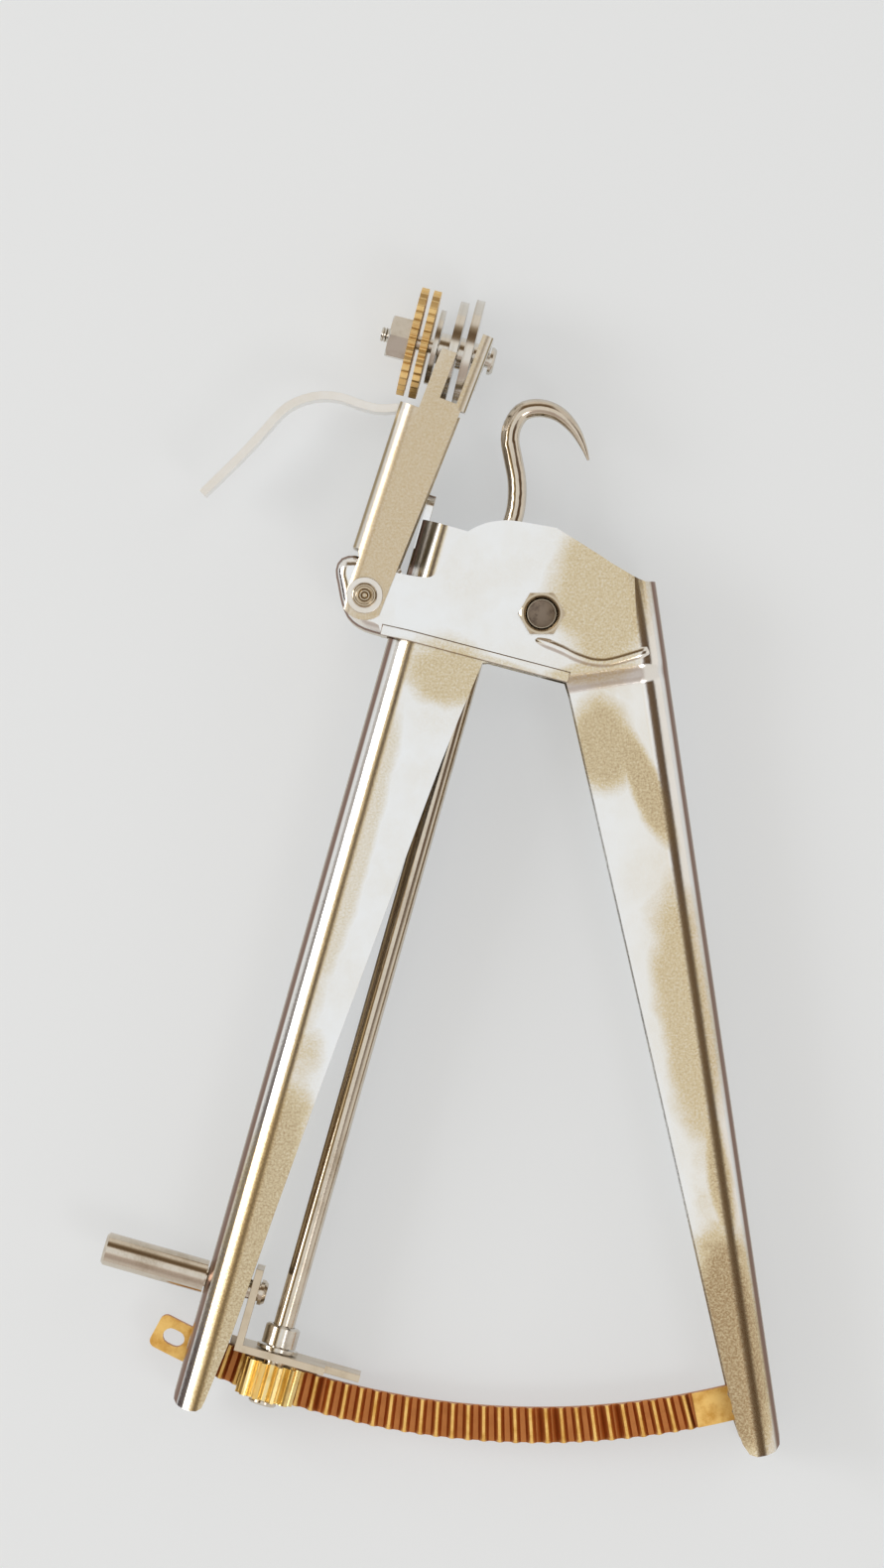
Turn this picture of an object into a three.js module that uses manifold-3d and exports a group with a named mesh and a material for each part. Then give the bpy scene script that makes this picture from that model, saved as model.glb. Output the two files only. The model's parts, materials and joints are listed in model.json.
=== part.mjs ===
// Plant tying pliers, lying on their back: x to the right, y up the tool, z towards the viewer.
// Everything is placed from the main pivot. Lengths are millimetres and angles are degrees.
// Squeezing the handles drives a brass rack past a pinion, and the pinion spins the twisting hook.

import * as THREE from 'three';
import { mergeVertices } from 'three/addons/utils/BufferGeometryUtils.js';
import Module from 'manifold-3d';

const wasm = await Module();
wasm.setup();

// Sheet and fits
const sheet = 1.5;
const seatGap = 0.3;
const turnGap = 0.15;
const boreGap = 0.2;
const overrun = 4;

// Left handle: a channel that leans right, its web on the left
const handleTilt = 15.85;
const handleHalfDepth = 8.5;
const handleBend = 6;
const handleWebOffset = 28;
const handleLength = 171;
const handleTop = 11.8;
const handleWidth = 19.4;
const handleEndRadius = 2.6;
const lugRadius = 9;
const lugArcStart = 120;
const lugArcEnd = -70;
const webTongueRise = 5.2;
const webTongueHalfWidth = 4;
const webTongueRadius = 2.5;
// Each pair is the distance below the pivot and the flange width there
const handleEdgeShares = [[0.073, 1], [0.187, 0.881], [0.359, 0.758], [0.704, 0.521], [0.916, 0.4]];
const handleEndShare = 0.33;

// Lever: the right handle and the head cheeks, one folded sheet
const leverTilt = 8.3;
const leverWebShare = 0.575;
const leverOverhang = 0.5;
const leverWidth = 20.2;
const leverEndWidth = 8.4;
const leverEndRadius = 3.2;
const joggleLap = 1.2864;
const joggleLength = 4.5;
const headReach = 40.8;
const headEndBend = 2.4;
const rimWidth = 2.2;
const rimHeight = 0.55;
const rimBevel = 0.3;
// Points of the head, as shares of its reach to the left of the pivot
const headTopShares = [
  [0.57, 0.159], [0.505, 0.159], [0.456, 0.179], [0.346, 0.243], [0.272, 0.292], [0.073, 0.417],
  [-0.13, 0.451], [-0.208, 0.451], [-0.282, 0.436], [-0.36, 0.397], [-0.426, 0.331], [-0.48, 0.228],
  [-0.539, 0.179], [-0.62, 0.184], [-0.703, 0.199],
];
const headEndShares = [
  [-0.809, 0.251], [-0.882, 0.279], [-0.925, 0.286], [-0.968, 0.274], [-0.995, 0.24], [-1, 0.197],
  [-0.99, 0.145], [-0.978, 0.078], [-0.961, 0.02], [-0.931, -0.032], [-0.87, -0.074], [-0.777, -0.103],
  [-0.699, -0.124],
];
const headFootShares = [[-0.777, -0.103], [-0.654, -0.13], [-0.218, -0.245], [0.12, -0.333]];
const headEndSteps = 22;
const headWallStart = 0.917;

// Main pivot
const pivotRadius = 3.1;
const pivotHeadRadius = 5.2;
const pivotHeadHeight = 1.6;
const pivotNutFlats = 8.1;
const pivotNutHeight = 3.2;
const pivotRecess = 2.2;
const nutBevelAngle = 30;
const pivotSpacerRadius = 3.95;
const pivotSpacerBore = 3.4;

// Return spring on the main pivot
const springWire = 1.4;
const springCoilRadius = 4.9;
const springCoilHeight = 8.4;
const springTurns = 3;
const springLegAngle = 75.5;
const springLeftReach = 3.5;
const springRightReach = 0.74;

// Rod with the twisting hook
const rodOffset = 10.6;
const rodHeight = 1;
const rodRadius = 2.15;
const hookRadius = 1.9;
const hookTipRadius = 0.25;
const hookBase = 19.1;
const hookRise = 20.6;
// Across and above the base of the hook, as shares of its rise
const hookShares = [
  [0, -0.25], [0, 0], [-0.06, 0.25], [-0.16, 0.46], [-0.235, 0.62], [-0.25, 0.76], [-0.195, 0.915],
  [-0.053, 0.995], [0.139, 0.995], [0.325, 0.9], [0.466, 0.757], [0.548, 0.641],
];
const hookTaperShare = 0.6;
const hookTaperPower = 1.6;
const rodPeenRadius = 2.9;
const rodPeenHeight = 0.8;

// Pinion and rack
const toothModule = 1;
const pinionTeeth = 10;
const pinionFace = 7.4;
const pressureAngle = 20;
const meshBacklash = 0.28;
const pinionBacklash = 0.07;
const tipClearance = 0.25;
const rackRise = 8.9;
const rackWidth = 7;
const rackBack = 6.75;
const rackOverhang = 7.2;
const rackEndRadius = 1.4;
const rackLeftLand = 10.7;
const rackRightLand = 10.6;
const rackLandDrop = 1.1;
const rackSlotOverhang = 3.2;
const rackSlotLength = 4.5;
const rackSlotWidth = 3.2;
const rackRivetInset = 7.08;
const rackRivetMargin = 1.84;
const rackRivetSpacing = 3.6;
const rackRivetRadius = 0.95;
const rackRivetHeadRadius = 1.6;
const rackRivetHeadHeight = 0.7;

// Bearings of the rod
const bracketLeft = 18.9;
const bracketRight = 6.8;
const bracketWaist = 0.4;
const bracketLegHeight = 16.75;
const bracketBackDrop = 7;
const bracketBackRight = 1.5;
const bushRadius = 3.1;
const bushFlangeRadius = 4.2;
const bushFlangeHeight = 0.7;
const collarRadius = 3.5;
const collarHeight = 4.1;
const collarBevel = 0.4;
const upperPlateBottom = 7.2;
const upperPlateLeft = 21.6;
const upperPlateRight = 5.6;
const upperTabLeft = 19.5;
const upperTabRight = 14.5;

// Reel pin
const reelPinRise = 11.95;
const reelPinRadius = 3.35;
const reelPinLength = 21;
const reelPinBevel = 0.5;
const reelShankRadius = 2;
const reelTailRadius = 2.6;
const reelTailHeight = 1.4;

// Tie arm: a channel that straddles the left end of the head
const armPivotInset = 5.8;
const armPivotRise = 3.6;
const armTilt = 21;
const armBend = 3.4;
const armRight = 4.1;
const armRightTop = 4.8;
const armLeft = 3;
const armFootRadius = 4.9;
const armFootArcStart = 234;
const armWebFoot = 8.2;
const armWebDrop = 12.7;
const armWebOffsetFoot = 5.7;
const armWebOffsetTop = 7.3;
const armLength = 51.2;
const forkLeft = 0.1;
const forkRight = 3.4;
const forkDepth = 9.4;
const earDepth = 10.4;
const earWallDrop = 4.7;
const earRise = 5.4;
const earRight = 5.6;
const earBend = 1.8;
const earApronDepth = 5.6;
const earWallDepth = 16.6;
const tongueThickness = 1.6;
const tongueHalfWidth = 5;
// Middle line of the tongue from the web, as shares of the arm's length
const tongueShares = [
  [-0.121, 0.739], [-0.168, 0.721], [-0.211, 0.701], [-0.285, 0.692], [-0.361, 0.69], [-0.43, 0.672],
  [-0.496, 0.633], [-0.555, 0.567], [-0.6, 0.454], [-0.652, 0.326], [-0.734, 0.148],
];
const tongueSteps = 26;

// Pivot of the tie arm
const armRivetRadius = 1.4;
const armRivetHeadRadius = 2.5;
const armRivetHeadHeight = 0.9;
const armRivetHoleRadius = 0.9;
const armRivetHoleDepth = 3;
const armWasherRadius = 3.6;
const armWasherHeight = 0.7;
const armSpacerRadius = 2.15;
const armSpringWire = 0.8;
const armSpringRadius = 2.8;
const armSpringHeight = 9;
const armSpringTurns = 4;
const armSpringLongLeg = 12;
const armSpringShortLeg = 2.1;

// Feed wheels and guide discs on their axle
const wheelTurn = 6.9;
const wheelLeft = 9.4;
const wheelDrop = 0.2;
const feedWheelRadius = 11;
const feedWheelThickness = 1.5;
const feedWheelTeeth = 34;
const feedToothDepth = 0.7;
const feedWheelPitch = 2.5;
const sideDiscPlace = 4.6;
const sideDiscRadius = 7.6;
const sideDiscThickness = 1;
const guideDiscPlace = 8.3;
const guideDiscPitch = 3;
const guideDiscGap = 0.4;
const forkDiscReach = 0.7;
const guideDiscThickness = 1.7;
const wheelHubRadius = 3.2;
const axleRadius = 1.5;
const axleHeadRadius = 2.8;
const axleHeadHeight = 1.1;
const axleTail = 1.6;
const wheelNutFlats = 8.1;
const wheelNutHeight = 4;

// Facets
const roundSides = 24;
const smallSides = 14;
const bendSteps = 5;
const wireSides = 6;
const coilSteps = 12;
const outlineSteps = 3;
const arcSteps = 20;
const rollSteps = 7;
const rollReach = 40;
const hookSteps = 44;
const finestEdge = 0.01;

const fullTurn = 360;
const halfTurn = fullTurn / 2;
const quarterTurn = fullTurn / 4;
const radians = Math.PI / halfTurn;

// Shapes and solids

const materials = {
  nickel: new THREE.MeshStandardMaterial({ color: 0xd8ccb4, roughness: 0.28, metalness: 1 }),
  steel: new THREE.MeshStandardMaterial({ color: 0xb9b4ab, roughness: 0.35, metalness: 1 }),
  darkSteel: new THREE.MeshStandardMaterial({ color: 0x7c776c, roughness: 0.45, metalness: 1 }),
  rackBrass: new THREE.MeshStandardMaterial({ color: 0xc88a2e, roughness: 0.35, metalness: 1 }),
  brass: new THREE.MeshStandardMaterial({ color: 0xd8a63c, roughness: 0.3, metalness: 1 }),
};

function signedVolume(position, index) {
  const a = new THREE.Vector3();
  const b = new THREE.Vector3();
  const c = new THREE.Vector3();
  let sum = 0;
  for (let i = 0; i < index.count; i += 3) {
    a.fromBufferAttribute(position, index.getX(i));
    b.fromBufferAttribute(position, index.getX(i + 1));
    c.fromBufferAttribute(position, index.getX(i + 2));
    sum += a.dot(b.cross(c));
  }
  return sum;
}

// A closed geometry becomes a solid with its faces pointing out
function solid(geometry) {
  geometry.deleteAttribute('normal');
  geometry.deleteAttribute('uv');
  const merged = mergeVertices(geometry);
  const triangles = Uint32Array.from(merged.index.array);
  if (signedVolume(merged.attributes.position, merged.index) < 0) triangles.reverse();
  const vertices = Float32Array.from(merged.attributes.position.array);
  return new wasm.Manifold(new wasm.Mesh({ numProp: 3, vertProperties: vertices, triVerts: triangles }));
}

function geometryOf(manifold) {
  const { vertProperties, triVerts } = manifold.getMesh();
  const geometry = new THREE.BufferGeometry();
  geometry.setAttribute('position', new THREE.Float32BufferAttribute(vertProperties, 3));
  geometry.setIndex(new THREE.Uint32BufferAttribute(triVerts, 1));
  geometry.computeVertexNormals();
  return geometry;
}

// Edges shorter than the finest one that matters are closed up
function piece(name, manifold, material) {
  const mesh = new THREE.Mesh(geometryOf(manifold.simplify(finestEdge)), material);
  mesh.name = name;
  return mesh;
}

function shapeOf(points) {
  return new THREE.Shape(points.map(([x, y]) => new THREE.Vector2(x, y)));
}

function plate(shape, low, high, curveSegments = outlineSteps) {
  const settings = { depth: high - low, bevelEnabled: false, curveSegments };
  return solid(new THREE.ExtrudeGeometry(shape, settings).translate(0, 0, low));
}

function box(left, right, bottom, top, low, high) {
  const geometry = new THREE.BoxGeometry(right - left, top - bottom, high - low);
  return solid(geometry.translate((left + right) / 2, (bottom + top) / 2, (low + high) / 2));
}

// A turned piece about z, from pairs of radius and height
function turned(profile, sides) {
  const points = profile.map(([radius, height]) => new THREE.Vector2(radius, height));
  return solid(new THREE.LatheGeometry(points, sides).rotateX(90 * radians));
}

function rod(radius, low, high, sides = roundSides) {
  return turned([[0, low], [radius, low], [radius, high], [0, high]], sides);
}

function tube(bore, radius, low, high, sides = roundSides) {
  return turned([[bore, low], [radius, low], [radius, high], [bore, high], [bore, low]], sides);
}

// From a body made about z to one along y
function alongY(manifold) {
  return manifold.rotate([-90, 0, 0]);
}

// From a body made about z to one along x
function alongX(manifold) {
  return manifold.rotate([0, 90, 0]);
}

// A hexagon nut whose corners are turned off at its upper end
function hexNut(flats, bore, low, high) {
  const prism = rod(flats / 2 / Math.cos(30 * radians), low, high, 6);
  const slope = Math.tan(nutBevelAngle * radians);
  const cone = turned([
    [0, low - overrun], [flats / 2 + overrun, low - overrun],
    [flats / 2 + overrun, high - overrun * slope], [0, high + flats / 2 * slope],
  ], roundSides);
  return prism.intersect(cone).subtract(rod(bore, low - overrun, high + overrun));
}

// Rings of matching points joined into one closed body; flat gives each ring's outline for its end cap
function loft(givenRings, flat) {
  const turnedRound = THREE.ShapeUtils.isClockWise(flat(givenRings[0]));
  const rings = turnedRound ? givenRings.map((ring) => [...ring].reverse()) : givenRings;
  const count = rings[0].length;
  const positions = rings.flat().flatMap((point) => [point.x, point.y, point.z]);
  const indices = [];
  for (let i = 0; i + 1 < rings.length; i++) {
    for (let j = 0; j < count; j++) {
      const next = (j + 1) % count;
      const a = i * count + j;
      const b = i * count + next;
      indices.push(a, b, b + count, a, b + count, a + count);
    }
  }
  const last = (rings.length - 1) * count;
  for (const [a, b, c] of THREE.ShapeUtils.triangulateShape(flat(rings[0]), [])) indices.push(a, c, b);
  for (const [a, b, c] of THREE.ShapeUtils.triangulateShape(flat(rings[rings.length - 1]), [])) {
    indices.push(last + a, last + b, last + c);
  }
  const geometry = new THREE.BufferGeometry();
  geometry.setAttribute('position', new THREE.Float32BufferAttribute(positions, 3));
  geometry.setIndex(indices);
  return solid(geometry);
}

// Outline of a folded channel across its length: web on the left, flanges to the right
function channelOutline(halfDepth, bend, reach) {
  const points = [[reach, -halfDepth]];
  for (let i = 0; i <= bendSteps; i++) {
    const angle = (270 - 90 * i / bendSteps) * radians;
    points.push([bend + bend * Math.cos(angle), bend - halfDepth + bend * Math.sin(angle)]);
  }
  for (let i = 0; i <= bendSteps; i++) {
    const angle = (180 - 90 * i / bendSteps) * radians;
    points.push([bend + bend * Math.cos(angle), halfDepth - bend + bend * Math.sin(angle)]);
  }
  points.push([reach, halfDepth]);
  points.push([reach, halfDepth - sheet]);
  const inner = bend - sheet;
  for (let i = 0; i <= bendSteps; i++) {
    const angle = (90 + 90 * i / bendSteps) * radians;
    points.push([bend + inner * Math.cos(angle), halfDepth - bend + inner * Math.sin(angle)]);
  }
  for (let i = 0; i <= bendSteps; i++) {
    const angle = (180 + 90 * i / bendSteps) * radians;
    points.push([bend + inner * Math.cos(angle), bend - halfDepth + inner * Math.sin(angle)]);
  }
  points.push([reach, sheet - halfDepth]);
  return points;
}

// A channel along y, from stations that give the height, the half depth and the place of the web
function channel(stations, bend, reach, side) {
  const rings = stations.map(({ y, halfDepth, web }) => channelOutline(halfDepth, bend, reach)
    .map(([across, z]) => new THREE.Vector3(side * (across - web), y, z)));
  return loft(rings, (ring) => ring.map((point) => new THREE.Vector2(point.x, point.z)));
}

function scaled(shares, size) {
  return shares.map(([x, y]) => [x * size, y * size]);
}

function smooth(share) {
  return share * share * (3 - 2 * share);
}

function splinePoints(points, steps) {
  const curve = new THREE.SplineCurve(points.map(([x, y]) => new THREE.Vector2(x, y)));
  return curve.getSpacedPoints(steps).map((point) => [point.x, point.y]);
}

// An open line moved sideways, to the left of its direction
function besideLine(points, distance) {
  return points.map(([x, y], i) => {
    const [ax, ay] = points[Math.max(i - 1, 0)];
    const [bx, by] = points[Math.min(i + 1, points.length - 1)];
    const length = Math.hypot(bx - ax, by - ay);
    return [x - (by - ay) / length * distance, y + (bx - ax) / length * distance];
  });
}

function ribbon(points, left, right) {
  return shapeOf([...besideLine(points, left), ...besideLine(points, -right).reverse()]);
}

// A sector of a ring round the pivot, its angles measured from straight down, positive to the right
function sector(inner, outer, from, to, low, high) {
  const start = (from - quarterTurn) * radians;
  const end = (to - quarterTurn) * radians;
  const shape = new THREE.Shape();
  shape.absarc(0, 0, outer, start, end, false);
  shape.absarc(0, 0, inner, end, start, true);
  return plate(shape, low, high, arcSteps);
}

// A round bar or wire along points, with a radius for each point
function wire(points, radiusAt, sides) {
  const tangents = points.map((point, i) => {
    const before = points[Math.max(i - 1, 0)];
    const after = points[Math.min(i + 1, points.length - 1)];
    return after.clone().sub(before).normalize();
  });
  const side = new THREE.Vector3(0, 0, 1);
  if (Math.abs(tangents[0].z) > Math.SQRT1_2) side.set(1, 0, 0);
  const rings = points.map((point, i) => {
    side.addScaledVector(tangents[i], -side.dot(tangents[i])).normalize();
    const other = tangents[i].clone().cross(side);
    const radius = radiusAt(i / (points.length - 1));
    return Array.from({ length: sides }, (_, j) => {
      const angle = 2 * Math.PI * j / sides;
      return point.clone().addScaledVector(side, radius * Math.cos(angle))
        .addScaledVector(other, radius * Math.sin(angle));
    });
  });
  const circle = rings[0].map((_, j) => {
    const angle = 2 * Math.PI * j / sides;
    return new THREE.Vector2(Math.cos(angle), Math.sin(angle));
  });
  return loft(rings, () => circle);
}

// A torsion spring about z: coil angles in degrees, rising from low, with a straight leg at each end
function torsionSpring(coilRadius, height, from, to, firstLeg, lastLeg) {
  const steps = Math.ceil((to - from) / fullTurn * coilSteps);
  const points = [];
  for (let i = 0; i <= steps; i++) {
    const angle = (from + (to - from) * i / steps) * radians;
    const rise = height * (i / steps - 1 / 2);
    points.push(new THREE.Vector3(coilRadius * Math.cos(angle), coilRadius * Math.sin(angle), rise));
  }
  const start = new THREE.Vector3(Math.sin(from * radians), -Math.cos(from * radians), 0);
  const end = new THREE.Vector3(-Math.sin(to * radians), Math.cos(to * radians), 0);
  points.unshift(points[0].clone().addScaledVector(start, firstLeg));
  points.push(points[points.length - 1].clone().addScaledVector(end, lastLeg));
  return points;
}

// Prints the least gap between neighbouring turns of a spring
function reportLeastGap(name, points, wireSize) {
  let least = Infinity;
  for (let i = 1; i < points.length - 1; i++) {
    for (let j = i + Math.ceil(coilSteps / 2); j < points.length - 1; j++) {
      least = Math.min(least, points[i].distanceTo(points[j]));
    }
  }
  console.log(`${name}: least gap to itself ${(least - wireSize).toFixed(2)} mm`);
}

// Derived sizes
const handleInner = handleHalfDepth - sheet;
const cheekInner = handleHalfDepth + seatGap;
const cheekHalfDepth = cheekInner + sheet;
const armInner = cheekHalfDepth + seatGap;
const armHalfDepth = armInner + sheet;
const armPivotLeft = headReach - armPivotInset;
const guideDiscRadius = armInner - guideDiscGap;
const forkDiscRadius = armInner + forkDiscReach;
const leverLength = handleLength + leverOverhang;
const leverWebOffset = leverWebShare * headReach;
const headFoot = scaled(headFootShares, headReach);
const joggleTop = -headFoot[headFoot.length - 1][1] - joggleLap;
const springLeftLeg = handleWebOffset + springLeftReach;
const springRightLeg = leverWebOffset + springRightReach;
const pitchRadius = toothModule * pinionTeeth / 2;
const pitchPlane = rodHeight - pitchRadius;
const rackTip = pitchPlane + toothModule;
const rackRoot = pitchPlane - toothModule - tipClearance;
const rackRadius = handleLength - rackRise;
const meshDrop = Math.sqrt(rackRadius ** 2 - rodOffset ** 2);
const toothAngle = Math.PI * toothModule / meshDrop / radians;
const rackInner = rackRadius - rackWidth / 2;
const rackOuter = rackRadius + rackWidth / 2;
const onRack = (across) => Math.asin(across / rackRadius) / radians;
const rackLeftEnd = -handleTilt - onRack(handleWebOffset + rackOverhang);
const rackSlotAngle = -handleTilt - onRack(handleWebOffset + rackSlotOverhang);
const meshAngle = -handleTilt - onRack(rodOffset);
const rackRivetAngle = leverTilt + onRack(leverWebOffset - rackRivetInset);
const rackRightEnd = rackRivetAngle + onRack(rackRivetMargin);
const rackTeethLeft = Math.round((meshAngle - rackLeftEnd - onRack(rackLeftLand)) / toothAngle - 1 / 2);
const rackTeethRight = Math.round((rackRightEnd - meshAngle - onRack(rackRightLand)) / toothAngle - 1 / 2);
const bracketTop = meshDrop - pinionFace / 2 - 3 * seatGap - sheet;
const bracketBottom = bracketTop + sheet;
const bracketLegTop = bracketBottom - bracketLegHeight;
const reelPinDrop = bracketBottom - reelPinRise;
const armWebTop = armLength - armWebDrop;
const forkBottom = armLength - forkDepth;
const earFoot = armLength - earDepth;
const earWallFoot = armLength - earWallDrop;
const earTop = armLength + earRise;
const wheelRise = armLength - wheelDrop;

// Left handle

function handleOutline() {
  const edge = handleEdgeShares
    .map(([drop, width]) => [width * handleWidth - handleWebOffset, -drop * handleLength]);
  const endX = handleEndShare * handleWidth - handleWebOffset;
  const shape = new THREE.Shape();
  shape.moveTo(-handleWebOffset - overrun, handleTop);
  shape.lineTo(-lugRadius, handleTop);
  shape.absarc(0, 0, lugRadius, lugArcStart * radians, lugArcEnd * radians, true);
  shape.lineTo(...edge[0]);
  shape.splineThru(edge.slice(1).map(([x, y]) => new THREE.Vector2(x, y)));
  shape.lineTo(endX, handleEndRadius - handleLength);
  shape.quadraticCurveTo(endX, -handleLength, endX - handleEndRadius, -handleLength);
  shape.lineTo(handleEndRadius - handleWebOffset, -handleLength);
  shape.quadraticCurveTo(-handleWebOffset, -handleLength, -handleWebOffset, handleEndRadius - handleLength);
  shape.lineTo(-handleWebOffset - overrun, handleEndRadius - handleLength);
  return shape;
}

function leftHandle() {
  const stations = [-handleLength - overrun, handleTop + overrun]
    .map((y) => ({ y, halfDepth: handleHalfDepth, web: handleWebOffset }));
  let body = channel(stations, handleBend, handleWebOffset + lugRadius + overrun, 1);
  body = body.intersect(plate(handleOutline(), -handleHalfDepth - overrun, handleHalfDepth + overrun));
  const tongueTop = handleTop + webTongueRise;
  const tongue = box(-handleWebOffset, sheet - handleWebOffset, handleTop - handleBend, tongueTop,
    -webTongueHalfWidth, webTongueHalfWidth);
  const tongueEnd = tongueTop - webTongueRadius;
  const farLeft = -handleWebOffset - overrun;
  const corner = alongX(tube(webTongueRadius, webTongueRadius + overrun, farLeft, overrun));
  const corners = [-1, 1].map((side) => {
    const place = side * (webTongueHalfWidth - webTongueRadius);
    const quarter = box(farLeft, overrun, tongueEnd, tongueEnd + overrun,
      side > 0 ? place : place - overrun, side > 0 ? place + overrun : place);
    return corner.translate([0, tongueEnd, place]).intersect(quarter);
  });
  body = body.add(tongue.subtract(corners[0]).subtract(corners[1]));
  const pivotHole = rod(pivotRadius + 2 * boreGap, -handleHalfDepth - overrun, handleHalfDepth + overrun);
  const pinHole = alongX(rod(reelShankRadius + boreGap, farLeft, overrun - handleWebOffset))
    .translate([0, -reelPinDrop, 0]);
  const rackPassage = sector(rackInner - seatGap, rackOuter + seatGap, rackLeftEnd - overrun, -handleTilt,
    -rackBack - seatGap, rackTip + seatGap).rotate([0, 0, handleTilt]);
  const tabSlots = box(-upperTabLeft - seatGap, seatGap - upperTabRight, upperPlateBottom - seatGap,
    upperPlateBottom + sheet + seatGap, -handleHalfDepth - overrun, handleHalfDepth + overrun);
  return body.subtract(pivotHole).subtract(pinHole).subtract(rackPassage).subtract(tabSlots);
}

// Bracket that carries the rod's lower end and backs the rack
function bearingBracket() {
  const halfWidth = handleInner - seatGap;
  const back = -rackBack - seatGap;
  const legLeft = -bracketLeft;
  const seat = box(legLeft, -bracketWaist, -bracketBottom, -bracketTop, back - sheet, halfWidth);
  const nose = box(-bracketWaist - overrun, bracketRight, -bracketBottom, -bracketTop,
    back - sheet, rodHeight);
  const leg = box(legLeft, legLeft + sheet, -bracketBottom, -bracketLegTop, -halfWidth, halfWidth);
  const backLeft = handleEndShare * handleWidth - handleWebOffset + sheet;
  const backPlate = box(backLeft, -bracketBackRight, -bracketBottom - bracketBackDrop, -bracketTop,
    back - sheet, back);
  const bushHole = alongY(rod(bushRadius + boreGap, -bracketBottom - overrun, overrun - bracketTop))
    .translate([-rodOffset, 0, rodHeight]);
  const pinHole = alongX(rod(reelShankRadius + boreGap, legLeft - overrun, legLeft + overrun))
    .translate([0, -reelPinDrop, 0]);
  return seat.add(nose).add(leg).add(backPlate).subtract(bushHole).subtract(pinHole);
}

function flangedBush(seat, below) {
  const bore = rodRadius + boreGap;
  const flange = seat + seatGap;
  return turned([
    [bore, seat - below], [bushRadius, seat - below], [bushRadius, flange], [bushFlangeRadius, flange],
    [bushFlangeRadius, flange + bushFlangeHeight], [bore, flange + bushFlangeHeight], [bore, seat - below],
  ], roundSides);
}

function lowerBush() {
  return alongY(flangedBush(-bracketTop, sheet + seatGap)).translate([-rodOffset, 0, rodHeight]);
}

function upperBush() {
  return alongY(flangedBush(upperPlateBottom + sheet, sheet + seatGap)).translate([-rodOffset, 0, rodHeight]);
}

function upperBearingPlate() {
  const top = upperPlateBottom + sheet;
  const halfWidth = handleInner - seatGap;
  const body = box(-upperPlateLeft, -upperPlateRight, upperPlateBottom, top, -halfWidth, halfWidth);
  const tabReach = handleHalfDepth - seatGap;
  const tabs = box(-upperTabLeft, -upperTabRight, upperPlateBottom, top, -tabReach, tabReach);
  const hole = alongY(rod(bushRadius + boreGap, upperPlateBottom - overrun, top + overrun))
    .translate([-rodOffset, 0, rodHeight]);
  return body.add(tabs).subtract(hole);
}

function reelPin() {
  const web = -handleWebOffset - seatGap;
  const tail = sheet - bracketLeft + seatGap;
  const profile = [
    [0, web - reelPinLength], [reelPinRadius - reelPinBevel, web - reelPinLength],
    [reelPinRadius, web - reelPinLength + reelPinBevel], [reelPinRadius, web], [reelShankRadius, web],
    [reelShankRadius, tail], [reelTailRadius, tail], [reelTailRadius, tail + reelTailHeight / 2],
    [reelShankRadius, tail + reelTailHeight], [0, tail + reelTailHeight],
  ];
  return alongX(turned(profile, roundSides)).translate([0, -reelPinDrop, 0]);
}

// Main pivot

function pivotBolt() {
  const back = -cheekHalfDepth - turnGap;
  const front = cheekHalfDepth + turnGap + pivotNutHeight - pivotRecess;
  return turned([
    [0, back - pivotHeadHeight], [pivotHeadRadius - pivotHeadHeight / 2, back - pivotHeadHeight],
    [pivotHeadRadius, back - pivotHeadHeight / 2], [pivotHeadRadius, back], [pivotRadius, back],
    [pivotRadius, front], [0, front],
  ], roundSides);
}

function pivotNut() {
  const low = cheekHalfDepth + turnGap;
  return hexNut(pivotNutFlats, pivotRadius + boreGap, low, low + pivotNutHeight);
}

function pivotSpacer() {
  const end = handleInner - turnGap;
  return tube(pivotSpacerBore, pivotSpacerRadius, -end, end);
}

function mainSpring() {
  const from = -springLegAngle;
  const to = halfTurn + springLegAngle + fullTurn * springTurns;
  const points = torsionSpring(springCoilRadius, springCoilHeight, from, to, springLeftLeg, springRightLeg);
  reportLeastGap('main_spring', points, springWire);
  return wire(points, () => springWire / 2, wireSides);
}

// Lever with the head cheeks

function headOutline() {
  const top = scaled(headTopShares, headReach);
  const end = scaled(headEndShares, headReach);
  const shape = new THREE.Shape();
  const curve = (points) => shape.splineThru(points.map(([x, y]) => new THREE.Vector2(x, y)));
  shape.moveTo(...top[0]);
  shape.lineTo(...top[1]);
  curve(top.slice(2, 6));
  curve(top.slice(6, 12));
  curve(top.slice(12));
  shape.lineTo(...end[1]);
  headFoot.forEach((point) => shape.lineTo(...point));
  const elbow = new THREE.Vector2(leverWebOffset - leverWidth, -joggleTop - joggleLength)
    .rotateAround(new THREE.Vector2(), leverTilt * radians);
  shape.lineTo(elbow.x, elbow.y);
  shape.lineTo(leverWebOffset + overrun, elbow.y);
  shape.lineTo(leverWebOffset + overrun, top[0][1]);
  return shape;
}

function leverOutline() {
  const edgeTop = leverWebOffset - leverWidth;
  const edgeEnd = leverWebOffset - leverEndWidth;
  const shape = new THREE.Shape();
  shape.moveTo(leverWebOffset + overrun, -joggleTop);
  shape.lineTo(edgeTop, -joggleTop);
  shape.lineTo(edgeTop, -joggleTop - joggleLength);
  shape.lineTo(edgeEnd, 2 * leverEndRadius - leverLength);
  shape.quadraticCurveTo(edgeEnd + leverEndRadius / 4, -leverLength, edgeEnd + leverEndRadius, -leverLength);
  shape.lineTo(leverWebOffset - leverEndRadius, -leverLength);
  shape.quadraticCurveTo(leverWebOffset, -leverLength, leverWebOffset, leverEndRadius - leverLength);
  shape.lineTo(leverWebOffset + overrun, leverEndRadius - leverLength);
  return shape;
}

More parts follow.
